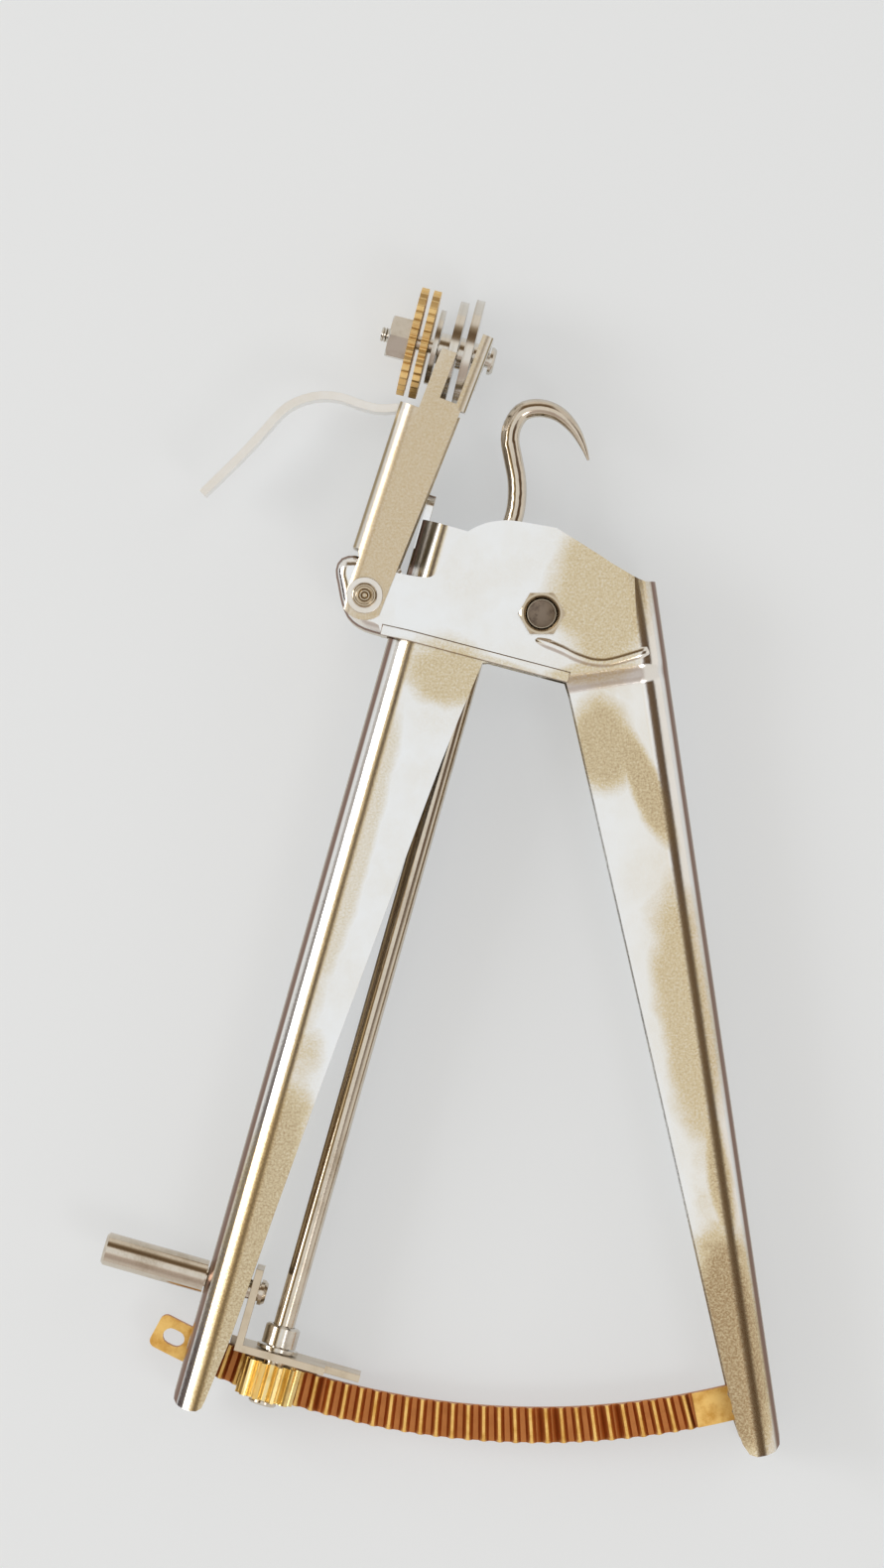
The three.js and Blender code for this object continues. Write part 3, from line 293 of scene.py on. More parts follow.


# How the warmth of the nickel spreads: by its noises, as a share of a spot's size, and by the
# slope of the surface, which is one on a flat and zero on a wall, where the warmth is painted
# shade. The rim is a bend's outer side, where a thin line of painted dark reflection runs.
STRAY_NOISE = (0.4, 0.75)
DOT_NOISE = (0.3, 0.7)
SPOT_WANDER = 0.45
SPOT_BORDER = (1.15, 0.55)
FLAT_SLOPES = (0.6, 0.95)
SHADED_WALL_SLOPES = (0.55, 0.25)
RIM_REFLECTION_SLOPES = (0.66, 0.5)
RIM_REFLECTION_END_SLOPES = (0.08, 0.25)


@dataclass(frozen=True)
class SpottedNickel(Finish):
    """Nickel plate with warm areas at known places, painted wall shade and painted bend reflections.

    Attributes:
        origin: Place of the main pivot, in metres.
        spots: The warm areas.
        deep: Hex colour of the warmest metal.
        stray: How much of the slow noise shows everywhere.
        rubbed: How much of the warmth is left on the bends.
        sides: How much painted shade the upright walls get, in the warm colours, up to one.
        painted_rim_reflection: Hex colour of the thin painted reflection along the outer side of each
            bend.
    """

    origin: Triple = (0.0, 0.0, 0.0)
    spots: tuple[Spot, ...] = ()
    deep: str = "#9A7B4B"
    stray: float = 0.16
    rubbed: float = 0.7
    sides: float = 0.65
    painted_rim_reflection: str = "#86695A"

    def level(self, tree: Tree) -> Source:
        """Give how level the surface is, from zero on a wall to one on a flat."""
        return add_node(tree, MATH, {"operation": "ABSOLUTE", 0: upward(tree)})

    def warm_spots(self, tree: Tree, patches: Source) -> Source:
        """Say how warm the spots make the metal.

        Args:
            tree: Node tree of the material.
            patches: Slow noise.

        Returns:
            Value that runs from zero to the strength of the strongest spot there.
        """
        place = self.coordinates(tree)
        wander = add_node(
            tree, MAP_RANGE, {"To Min": -SPOT_WANDER, "To Max": SPOT_WANDER, "Value": patches})
        total = add_node(
            tree, MAP_RANGE, {**span(*STRAY_NOISE), "To Max": self.stray, "Value": patches})
        across, up, depth = self.origin
        for spot in self.spots:
            shifted = add_node(
                tree, "ShaderNodeMapping",
                {
                    "vector_type": "TEXTURE",
                    "Location": (across + spot.x * MM, up + spot.y * MM, depth),
                    "Rotation": (0.0, 0.0, -math.radians(spot.lean)),
                    "Scale": (spot.across * MM, spot.along * MM, 1.0), "Vector": place,
                })
            reach = add_node(tree, VECTOR_MATH, {"operation": "LENGTH", 0: shifted})
            bent = add_node(tree, MATH, {"operation": "ADD", 0: reach, 1: wander})
            warm = add_node(
                tree, MAP_RANGE,
                {**SMOOTH, **span(*SPOT_BORDER), "To Max": spot.strength, "Value": bent})
            total = add_node(tree, MATH, {**LARGER, 0: total, 1: warm})
        return total

    def tarnish_and_shade(self, tree: Tree, patches: Source, grain: Source) -> Source:
        """Say how warm the metal is, from the spots, the slope, the two noises and painted wall shade.

        Args:
            tree: Node tree of the material.
            patches: Slow noise.
            grain: Fine noise.

        Returns:
            Value that runs from zero on clean metal to one on the warmest.
        """
        few, many = 1 - self.speckle, 1 + self.speckle
        dotted = add_node(
            tree, MAP_RANGE, {**span(*DOT_NOISE), "To Min": few, "To Max": many, "Value": grain})
        spots = self.warm_spots(tree, patches)
        speckled = add_node(tree, MATH, {**TIMES, "use_clamp": True, 0: spots, 1: dotted})
        level = self.level(tree)
        kept = add_node(
            tree, MAP_RANGE, {**span(*FLAT_SLOPES), "To Min": self.rubbed, "Value": level})
        flats = add_node(tree, MATH, {**TIMES, 0: speckled, 1: kept})
        # Upright walls take the warm colours as painted shade.
        steep = add_node(
            tree, MAP_RANGE, {**span(*SHADED_WALL_SLOPES), "To Max": self.sides, "Value": level})
        painted_wall_shade = add_node(tree, MATH, {**TIMES, 0: steep, 1: dotted})
        return add_node(tree, MATH, {**LARGER, "use_clamp": True, 0: flats, 1: painted_wall_shade})

    def colours(self, tree: Tree, share: Source) -> Source:
        """Colour the metal by its warmth, with a line of painted reflection along its bends.

        Args:
            tree: Node tree of the material.
            share: How warm it is.

        Returns:
            The colour.
        """
        ramp = add_node(tree, "ShaderNodeValToRGB", {"Fac": share})
        set_ramp(ramp, ((0.0, self.colour), (0.5, self.tarnish), (1.0, self.deep)))
        # A thin line of painted dark reflection runs along the outer side of each bend.
        level = self.level(tree)
        bend, wall = (
            add_node(tree, MAP_RANGE, {**SMOOTH, **span(*slopes), "Value": level})
            for slopes in (RIM_REFLECTION_SLOPES, RIM_REFLECTION_END_SLOPES))
        line = add_node(tree, MATH, {**TIMES, 0: bend, 1: wall})
        return add_node(tree, MIX, {**IN_COLOUR, 7: linear(self.painted_rim_reflection), 0: line, 6: ramp})


@dataclass(frozen=True)
class TurnedFinish(Finish):
    """Metal turned on a lathe: its grain runs round an axis, as fine rings.

    Attributes:
        axis: Direction of the axis of the piece.
        centre: A point on that axis, in metres.
    """

    axis: Triple = (0.0, 0.0, 1.0)
    centre: Triple = (0.0, 0.0, 0.0)

    def coordinates(self, tree: Tree) -> Source:
        """Give the distance from the axis and the place along it.

        Args:
            tree: Node tree of the material.

        Returns:
            The coordinates, in metres.
        """
        place = super().coordinates(tree)
        offset = add_node(tree, VECTOR_MATH, {"operation": "SUBTRACT", 1: self.centre, 0: place})
        along, across = (
            add_node(tree, VECTOR_MATH, {"operation": product, 1: self.axis, 0: offset})
            for product in ("DOT_PRODUCT", "CROSS_PRODUCT"))
        radius = add_node(tree, VECTOR_MATH, {"operation": "LENGTH", 0: across})
        return add_node(tree, "ShaderNodeCombineXYZ", {"X": radius, "Y": along})


@dataclass(frozen=True)
class CutBrass(Finish):
    """Brass cut by a milling cutter, with brown painted shade at the bottom of its gaps.

    Attributes:
        gap_shade: Hex colour of the painted shade in the gaps.
        floor: Heights between which the gaps' painted shade fades into the flat faces, in millimetres.
        crest: Heights between which the sides of the teeth lose their painted shade.
        unshaded_range: How far up a face looks, where its painted shade starts to fade and where it is
            gone.
    """

    gap_shade: str = "#7A4416"
    floor: Pair = (0.0, 1.0)
    crest: Pair = (1.0, 2.0)
    unshaded_range: Pair = (0.5, 0.9)

    def colours(self, tree: Tree, share: Source) -> Source:
        """Mix the two colours, with the painted shade of the gaps below them.

        Args:
            tree: Node tree of the material.
            share: How much of the tarnish shows.

        Returns:
            The colour.
        """
        clean = super().colours(tree, share)
        parts = add_node(tree, "ShaderNodeSeparateXYZ", {"Vector": self.coordinates(tree)})
        above, tips = (
            add_node(tree, MAP_RANGE, {**span(low * MM, high * MM), "Value": parts.outputs["Z"]})
            for low, high in (self.floor, self.crest))
        # Painted shade: brown at the bottom of the gaps and on the sides of the teeth below their crest.
        faces = add_node(tree, MAP_RANGE, {**span(*self.unshaded_range), "Value": upward(tree)})
        lands = add_node(tree, MATH, {**TIMES, 0: above, 1: faces})
        unshaded = add_node(tree, MATH, {**LARGER, 0: lands, 1: tips})
        return add_node(tree, MIX, {**IN_COLOUR, 6: linear(self.gap_shade), 0: unshaded, 7: clean})


class Body(Enum):
    """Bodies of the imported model."""

    HANDLE = "handle"
    LEVER = "lever"
    SPINDLE = "spindle"
    ARM = "arm"
    WHEELS = "wheels"


# Meshes


def add_object(name: str, data: bpy.types.ID) -> Thing:
    """Put a mesh, a lamp or a camera into the scene.

    Args:
        name: Name of the new object.
        data: What it shows. A mesh is already in place.

    Returns:
        The new object.
    """
    made = bpy.data.objects.new(name, data)
    bpy.context.scene.collection.objects.link(made)
    return made


@cache
def material_of(finish: Finish) -> bpy.types.Material:
    """Give the material of a finish, made the first time that it is asked for."""
    return finish.material()


def dress(piece: Thing, finish: Finish, body: Body, *nodes: str) -> None:
    """Give a piece its finish, its body and the nodes that it stands for.

    Args:
        piece: The piece, with its final mesh.
        finish: Finish of the whole piece.
        body: Body that carries it.
        nodes: CAD nodes that it replaces.
    """
    piece.data.materials.clear()
    piece.data.materials.append(material_of(finish))
    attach(piece, body.value)
    if nodes:
        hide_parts(*nodes)
    LOG.info("%s: %d faces", piece.name, len(piece.data.polygons))


def shade_smooth(mesh: bpy.types.Mesh, sharp: float) -> None:
    """Shade a mesh smooth, apart from edges sharper than so many degrees."""
    mesh.polygons.foreach_set("use_smooth", [True] * len(mesh.polygons))
    mesh.set_sharp_from_angle(angle=math.radians(sharp))


def smoothed_copy(source: Thing, name: str, bevel: float) -> Thing:
    """Copy a CAD node with its bends shaded smooth and its edges broken.

    Args:
        source: The CAD node's object.
        name: Name of the copy.
        bevel: Width of the broken edges, in millimetres, or zero.

    Returns:
        The copy, as a plain mesh.
    """
    work = bmesh.new()
    work.from_mesh(source.data)
    bmesh.ops.remove_doubles(work, verts=work.verts, dist=SAME_POINT)
    bmesh.ops.dissolve_limit(
        work, angle_limit=math.radians(FLAT_ANGLE), verts=work.verts, edges=work.edges)
    mesh = bpy.data.meshes.new(name)
    work.to_mesh(mesh)
    work.free()
    copy = add_object(name, mesh)
    if bevel:
        modifier = copy.modifiers.new("edges", "BEVEL")
        modifier.width = bevel * MM
        modifier.segments = BEVEL_STEPS
        modifier.limit_method = "ANGLE"
        modifier.angle_limit = math.radians(COPY_SHARP)
        modifier.use_clamp_overlap = True
        flatten(copy)
    shade_smooth(copy.data, COPY_SHARP)
    modifier = copy.modifiers.new("flat faces", "WEIGHTED_NORMAL")
    modifier.mode = "FACE_AREA"
    modifier.weight = FACE_WEIGHT
    modifier.keep_sharp = True
    flatten(copy)
    return copy


def flatten(piece: Thing) -> None:
    """Turn a piece's modifiers into its plain mesh.

    Args:
        piece: The piece, whose modifiers are removed.
    """
    graph = bpy.context.evaluated_depsgraph_get()
    mesh = bpy.data.meshes.new_from_object(piece.evaluated_get(graph), depsgraph=graph)
    piece.modifiers.clear()
    piece.data = mesh


def set_input(modifier: bpy.types.Modifier, name: str, value: Any) -> None:
    """Set a named input of a Geometry Nodes modifier.

    Args:
        modifier: The modifier, whose tree is set.
        name: Name of the input.
        value: Its value.
    """
    for item in modifier.node_group.interface.items_tree:
        if item.item_type == "SOCKET" and item.in_out == "INPUT" and item.name == name:
            modifier[item.identifier] = value


@dataclass
class Wire:
    """A wire swept along a path with Geometry Nodes.

    Attributes:
        radius: Radius of the wire, in millimetres.
        sides: Sides of its section.
    """

    radius: float
    sides: int = 12

    def tree(self) -> Tree:
        """Build the tree that sweeps the wire.

        Returns:
            The tree, with inputs for the radius, the sides and the material.
        """
        tree = bpy.data.node_groups.new("swept wire", "GeometryNodeTree")
        inputs = (
            ("Path", "Geometry"), ("Wire radius", "Float"), ("Wire sides", "Int"),
            ("Material", "Material"))
        for name, kind in inputs:
            tree.interface.new_socket(name, in_out="INPUT", socket_type=f"NodeSocket{kind}")
        tree.interface.new_socket("Wire", in_out="OUTPUT", socket_type="NodeSocketGeometry")
        given = add_node(tree, "NodeGroupInput")
        curve = add_node(tree, "GeometryNodeMeshToCurve", {"Mesh": given.outputs["Path"]})
        ring = add_node(
            tree, "GeometryNodeCurvePrimitiveCircle",
            {"Resolution": given.outputs["Wire sides"], "Radius": given.outputs["Wire radius"]})
        swept = add_node(
            tree, "GeometryNodeCurveToMesh",
            {"Fill Caps": True, "Curve": curve, "Profile Curve": ring})
        shaded = add_node(tree, "GeometryNodeSetShadeSmooth", {"Geometry": swept})
        real = add_node(tree, "GeometryNodeRealizeInstances", {"Geometry": shaded})
        coloured = add_node(
            tree, "GeometryNodeSetMaterial",
            {"Geometry": real, "Material": given.outputs["Material"]})
        add_node(tree, "NodeGroupOutput", {"Wire": coloured})
        return tree

    def make(self, name: str, path: Sequence[Vector], finish: Finish) -> Thing:
        """Sweep the wire along a path.

        Args:
            name: Name of the piece.
            path: Points of the path, in metres.
            finish: Finish of the wire.

        Returns:
            The wire, as a plain mesh.
        """
        mesh = bpy.data.meshes.new(name)
        mesh.from_pydata([tuple(p) for p in path], [(i, i + 1) for i in range(len(path) - 1)], [])
        piece = add_object(name, mesh)
        modifier = piece.modifiers.new("sweep", "NODES")
        modifier.node_group = self.tree()
        set_input(modifier, "Wire radius", self.radius * MM)
        set_input(modifier, "Wire sides", self.sides)
        set_input(modifier, "Material", material_of(finish))
        flatten(piece)
        return piece


def stand(work: Shape, centre: Vector, axis: Vector) -> Shape:
    """Turn the faces of a working mesh out, and stand it at a point.

    Args:
        work: The working mesh, made about the origin with its axis upward.
        centre: Where its origin goes, in metres.
        axis: Where its axis goes.

    Returns:
        The same mesh.
    """
    bmesh.ops.recalc_face_normals(work, faces=work.faces)
    turn = axis.to_track_quat("Z", "Y").to_matrix().to_4x4()
    bmesh.ops.transform(work, matrix=Matrix.Translation(centre) @ turn, verts=work.verts)
    return work


def lathe(profile: Iterable[Pair], centre: Vector, axis: Vector) -> Shape:
    """Turn a closed profile about an axis.

    Args:
        profile: Pairs of radius and place along the axis, in millimetres.
        centre: Point on the axis where the place is zero, in metres.
        axis: Direction of the axis.

    Returns:
        The turned mesh, with its faces pointing out.
    """
    work = bmesh.new()
    points = [work.verts.new((r * MM, 0.0, h * MM)) for r, h in profile]
    edges = [work.edges.new((points[i], points[i + 1])) for i in range(len(points) - 1)]
    bmesh.ops.spin(
        work, geom=[*points, *edges], cent=(0, 0, 0), axis=(0, 0, 1), angle=2 * math.pi,
        steps=LATHE_SIDES, use_duplicate=False)
    bmesh.ops.remove_doubles(work, verts=work.verts, dist=SAME_POINT)
    return stand(work, centre, axis)


def add_piece(
    name: str, work: Shape, finish: Finish, body: Body, *nodes: str, sharp: float = TURNED_SHARP,
) -> None:
    """Turn a working mesh into a smoothly shaded and dressed piece.

    Args:
        name: Name of the piece.
        work: The working mesh, which is freed.
        finish: Finish of the whole piece.
        body: Body that carries it.
        nodes: CAD nodes that it replaces.
        sharp: Angle in degrees above which an edge stays sharp.
    """
    mesh = bpy.data.meshes.new(name)
    work.to_mesh(mesh)
    work.free()
    shade_smooth(mesh, sharp)
    dress(add_object(name, mesh), finish, body, *nodes)


def ring_body(rings: Sequence[Sequence[Triple]], centre: Vector, axis: Vector) -> Shape:
    """Join rings of matching points into one closed body that has a hole through it.

    Args:
        rings: Rings in order round the section, each with the same number of points, in
            millimetres, with the axis along the third number.
        centre: Where the rings' origin goes, in metres.
        axis: Direction of the axis.

    Returns:
        The mesh, with its faces pointing out.
    """
    work = bmesh.new()
    rows = [[work.verts.new([value * MM for value in point]) for point in ring] for ring in rings]
    for i, row in enumerate(rows):
        after = rows[(i + 1) % len(rows)]
        for j, vertex in enumerate(row):
            k = (j + 1) % len(row)
            work.faces.new((vertex, row[k], after[k], after[j]))
    return stand(work, centre, axis)


# The tool's own finishes

# Nickel plate on rolled sheet mirrors its surroundings in soft bands, with warm speckled areas,
# painted shade on its walls and a painted dark reflection along the outer side of its bends.
NICKEL = SpottedNickel(
    "bright nickel plate on rolled sheet", "nickel_plate", "#F1F1F0", "#D8C8A6",
    patch=13.0, grain=0.45, roughness=(0.14, 0.28), wave=(22.0, 0.16), tooth=0.012, speckle=0.4,
    deep="#A38967", stray=0.12,
    spots=(
        Spot(13.0, 4.5, 12.5, 19.0, 0.0, 0.5),
        Spot(9.0, -11.5, 12.0, 2.6, -8.0, 0.42),
        Spot(-13.0, -9.0, 18.0, 1.6, 14.0, 0.3),
        Spot(12.0, -25.5, 6.8, 10.5, -16.0, 0.6),
        Spot(20.8, -34.3, 3.4, 16.0, -23.0, 0.62),
        Spot(28.8, -78.0, 6.6, 31.0, -8.3, 0.5),
        Spot(35.6, -112.0, 2.8, 15.0, -8.3, 0.6),
        Spot(38.5, -146.0, 8.5, 29.0, -8.3, 0.85),
        Spot(-18.5, -12.0, 10.5, 8.0, 15.85, 0.5),
        Spot(-37.2, -50.0, 3.0, 38.0, 15.85, 0.28),
        Spot(-57.5, -124.0, 6.8, 42.0, 15.85, 0.62),
    ))
# Satin nickel plate is the same metal, laid on a rougher sheet: even, warm and without bands.
ARM_NICKEL = SpottedNickel(
    "satin nickel plate", "nickel_plate", "#F1EFEB", "#D3C09B",
    patch=10.0, grain=0.45, roughness=(0.32, 0.4), wave=(18.0, 0.1), tooth=0.012, speckle=0.3,
    # Its bends carry a paler line of painted reflection.
    deep="#A38967", stray=0.12, rubbed=0.1, sides=0.0, painted_rim_reflection="#A8946F",
    spots=(Spot(-25.5, 24.0, 9.5, 44.0, 21.0, 0.4),))
# Turned parts keep the rings of the tool that cut them, which spread the light about their axis.
TURNED_STEEL = TurnedFinish(
    "turned and plated steel", "steel", "#DDD7CD", "#A99A84",
    patch=1.6, grain=0.22, roughness=(0.16, 0.28), wave=(8.0, 0.02), tooth=0.006)
TURNED_BRASS = TurnedFinish(
    "turned brass", "brass", "#F3D192", "#CFA057",
    patch=1.8, grain=0.25, roughness=(0.34, 0.48), wave=(8.0, 0.02), tooth=0.006)
NUT_STEEL = TurnedFinish(
    "turned nut steel", "steel", "#CBBDA6", "#8F7E66",
    patch=1.4, grain=0.22, roughness=(0.18, 0.3), wave=(8.0, 0.02), tooth=0.006)
# Machined steel under thin plating is bright and nearly even.
STEEL = Finish(
    "plated machined steel", "steel", "#D9D3C9", "#B4A997",
    patch=4.0, grain=0.3, roughness=(0.16, 0.26), wave=(12.0, 0.02), tooth=0.003)
# Strip that was plated as it came from the roll is dull and creamy.
PALE_STEEL = Finish(
    "dull plated strip", "steel", "#D6C8B2", "#B9A88E",
    patch=5.0, grain=0.4, roughness=(0.3, 0.42), wave=(14.0, 0.03), tooth=0.006)
# Drawn bar is smooth along its length, so that it shows long sharp lines of light.
ROD_STEEL = Finish(
    "drawn and plated bar", "steel", "#D8CEBF", "#A99880",
    patch=9.0, grain=0.5, roughness=(0.14, 0.24), wave=(24.0, 0.03), tooth=0.004, speckle=0.3)
# Spring wire is hardened in oil and left dark.
DARK_STEEL = Finish(
    "oiled spring steel", "spring_steel", "#8B867B", "#5A5348",
    patch=4.0, grain=0.3, roughness=(0.28, 0.42), wave=(9.0, 0.02), tooth=0.004)
# The bore isn't plated, and the dark sheet that lines it is painted shade.
BORE_SHADE = Finish(
    "painted bore shade", "steel", "#8A7C6E", "#35292A",
    patch=2.0, grain=0.3, roughness=(0.3, 0.5), wave=(6.0, 0.02), tooth=0.006)
# Milled brass is matt gold on its teeth, with brown painted shade in its gaps.
RACK_BRASS = CutBrass(
    "milled rack brass", "rack_brass", "#FBD383", "#DBA650",
    patch=3.0, grain=0.35, roughness=(0.42, 0.55), wave=(7.0, 0.05), tooth=0.012,
    edge=(0.3, 0.8), gap_shade="#C4824C", floor=(8.2, 9.0), crest=(9.2, 9.6))
# The cut flanks of the pinion are polished by their own running.
BRASS = Finish(
    "bright cut brass", "brass", "#F3DA9C", "#D9B668",
    patch=5.0, grain=0.4, roughness=(0.18, 0.3), wave=(10.0, 0.02), tooth=0.005)


# Studio


@dataclass
class Photograph:
    """Where the photograph was taken from.

    Attributes:
        frame_px: Width and height of the picture.
        scale: Pixels for each millimetre at the main pivot.
        pivot_px: Where the main pivot stands in the picture.
        distance: How far the camera stands, in millimetres.
        sensor: Height of the camera's sensor, in millimetres.
        reach: How far the camera sees, in metres.
    """

    frame_px: tuple[int, int] = (891, 1580)
    scale: float = 5.05
    pivot_px: Pair = (545.0, 620.0)
    distance: float = 1200.0
    sensor: float = 36.0
    reach: float = 100.0

    def make(self, pivot: Vector) -> None:
        """Put the camera straight above the tool.

        Args:
            pivot: Place of the main pivot, in metres.
        """
        width, height = self.frame_px
        across = (width / 2 - self.pivot_px[0]) / self.scale
        up = (self.pivot_px[1] - height / 2) / self.scale
        data = bpy.data.cameras.new("camera")
        data.sensor_fit = "VERTICAL"
        data.sensor_height = self.sensor
        data.lens = self.sensor * self.distance * self.scale / height
        data.clip_end = self.reach
        camera = add_object("camera", data)
        camera.location = pivot + Vector((across, up, self.distance)) * MM
        bpy.context.scene.camera = camera


@dataclass
class Softbox:
    """A square lamp that looks at the tool.

    Attributes:
        name: Name of the lamp.
        place: Where it stands, in millimetres from the origin.
        size: Width of its face, in millimetres.
        power: Its power, in watts.
    """

    name: str
    place: Triple
    size: float
    power: float

    def make(self) -> None:
        """Hang the lamp and turn it to the tool."""
        data = bpy.data.lights.new(self.name, "AREA")
        data.size = self.size * MM
        data.energy = self.power
        lamp = add_object(self.name, data)
        lamp.location = Vector(self.place) * MM
        lamp.rotation_euler = (-lamp.location).to_track_quat("-Z", "Y").to_euler()


@dataclass
class Studio:
    """Pale floor, soft lamps and a pale world with darker bands towards its left, right and head.

    Attributes:
        floor_colour: Hex colour of the floor.
        floor_roughness: Roughness of the floor.
        floor_size: Width of the floor, in millimetres.
        floor_gap: How far the floor lies below the tool, in millimetres.
        floor_glow: How much of the floor's plain colour shows, up to one.
        sides: Colours of the surroundings from the left to the right, by the cosine of the angle.
        ends: Their colours from the foot of the tool to its head.
        corner: Colour of the surroundings between the bands of the sides and of the ends.
        side_reach: Cosines between which the colour of the corners takes over from the ends.
        end_reach: Cosines between which the ends take over from the sides.
        lamps: The lamps.
    """

    floor_colour: str = "#EBEEF0"
    floor_roughness: float = 0.7
    floor_size: float = 12000.0
    floor_gap: float = 0.1
    floor_glow: float = 0.5
    sides: tuple[tuple[float, str], ...] = (
        (-0.99, "#3B2622"), (-0.94, "#3B2622"), (-0.91, "#F3F1F4"), (-0.7, "#F7F3EE"),
        (-0.62, "#E6CFA0"), (-0.55, "#E0C48E"), (-0.49, "#4A3624"), (-0.35, "#5A432B"),
        (-0.28, "#E9D7AE"), (-0.19, "#F6F6F6"), (0.0, "#F4F7FA"), (0.17, "#F1EADC"),
        (0.25, "#FBFBFB"), (0.36, "#F6F6F6"), (0.42, "#6B543D"), (0.79, "#55422F"),
        (0.86, "#EEE9E2"))
    ends: tuple[tuple[float, str], ...] = (
        (-0.9, "#D8D1CC"), (-0.75, "#BCB0A8"), (-0.45, "#C6BAB2"), (-0.28, "#F2EFEC"),
        (0.0, "#FFFFFF"), (0.3, "#FBF8F3"), (0.42, "#7C664B"), (0.66, "#65513A"), (0.8, "#A08E76"),
        (0.88, "#E9E3DA"))
    corner: str = "#E4DFD8"
    side_reach: Pair = (0.34, 0.46)
    end_reach: Pair = (0.2, 0.32)
    lamps: tuple[Softbox, ...] = (
        Softbox("key softbox", (-1000.0, 220.0, 700.0), 500.0, 3.9),
        Softbox("fill softbox", (420.0, -500.0, 1000.0), 300.0, 1.0),
    )

    def make(self) -> None:
        """Build the studio."""
        self.make_floor()
        for lamp in self.lamps:
            lamp.make()
        self.make_world()
        bpy.context.scene.view_settings.view_transform = "Standard"

    def make_floor(self) -> None:
        """Lay the floor, whose plain colour shows to the camera and in the metal."""
        half = self.floor_size / 2 * MM
        low = -self.floor_gap * MM
        mesh = bpy.data.meshes.new("floor")
        corners = [(-half, -half, low), (half, -half, low), (half, half, low), (-half, half, low)]
        mesh.from_pydata(corners, [], [(0, 1, 2, 3)])
        floor = add_object("floor", mesh)
        material = bpy.data.materials.new("pale floor")
        material.use_nodes = True
        tree = material.node_tree
        tree.nodes.clear()
        colour = linear(self.floor_colour)
        matt = add_node(
            tree, "ShaderNodeBsdfPrincipled",
            {"Base Color": colour, "Roughness": self.floor_roughness})
        plain = add_node(tree, "ShaderNodeEmission", {"Color": colour, "Strength": 1.0})
        ray = add_node(tree, "ShaderNodeLightPath").outputs
        seen = add_node(tree, MATH, {**LARGER, 0: ray["Is Camera Ray"], 1: ray["Is Glossy Ray"]})
        glow = add_node(tree, MAP_RANGE, {"To Max": self.floor_glow, "Value": seen})
        both = add_node(tree, "ShaderNodeMixShader", {0: glow, 1: matt, 2: plain})
        add_node(tree, "ShaderNodeOutputMaterial", {"Surface": both})
        mesh.materials.append(material)

    def make_world(self) -> None:
        """Paint the surroundings in the bands that the bends of the sheet mirror."""
        world = bpy.data.worlds.new("studio")
        world.use_nodes = True
        tree = world.node_tree
        tree.nodes.clear()
        way = add_node(tree, "ShaderNodeTexCoord").outputs["Generated"]
        parts = add_node(tree, "ShaderNodeSeparateXYZ", {"Vector": way})
        bands = []
        shares = []
        for axis, stops, reach in (
                ("X", self.sides, self.side_reach), ("Y", self.ends, self.end_reach)):
            cosine = parts.outputs[axis]
            spread = add_node(tree, MAP_RANGE, {"From Min": -1.0, "Value": cosine})
            ramp = add_node(tree, "ShaderNodeValToRGB", {"Fac": spread})
            bands.append(set_ramp(ramp, [((place + 1) / 2, code) for place, code in stops]))
            size = add_node(tree, MATH, {"operation": "ABSOLUTE", 0: cosine})
            shares.append(add_node(tree, MAP_RANGE, {**SMOOTH, **span(*reach), "Value": size}))
        far_end = add_node(
            tree, MIX, {**IN_COLOUR, 7: linear(self.corner), 0: shares[0], 6: bands[1]})
        around = add_node(tree, MIX, {**IN_COLOUR, 0: shares[1], 6: bands[0], 7: far_end})
        sky = add_node(tree, "ShaderNodeBackground", {"Strength": 1.0, "Color": around})
        add_node(tree, "ShaderNodeOutputWorld", {"Surface": sky})
        bpy.context.scene.world = world


# The tool


@dataclass
class ToolFrame:
    """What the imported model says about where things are.

    Attributes:
        pivot: Main pivot, in metres.
        arm_pivot: Pivot of the tie arm.
        wheel: Point on the axle of the feed wheels.
        wheel_axis: Direction of the axle.
        nodes: CAD objects by name.
        bodies: Body of each CAD node.
    """

    pivot: Vector
    arm_pivot: Vector
    wheel: Vector
    wheel_axis: Vector
    nodes: dict[str, Thing]
    bodies: dict[str, Body]

    @classmethod
    def read(cls, frame: dict[str, Any]) -> ToolFrame:
        """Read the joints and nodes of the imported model.


        Returns:
            The places that the classes below build from.
        """
        joints = {joint["name"]: joint for joint in frame["joints"]}
        place = {name: Vector(joint["pos_m"]) for name, joint in joints.items()}
        groups = frame["record"]["behaviour"]["bodies"]
        return cls(
            pivot=place["squeeze"],
            arm_pivot=place["tie_arm_swing"],
            wheel=place["wheel_spin"],
            wheel_axis=Vector(joints["wheel_spin"]["axis"]).normalized(),
            nodes=frame["nodes"],
            bodies={node: Body(body) for body, nodes in groups.items() for node in nodes},
        )


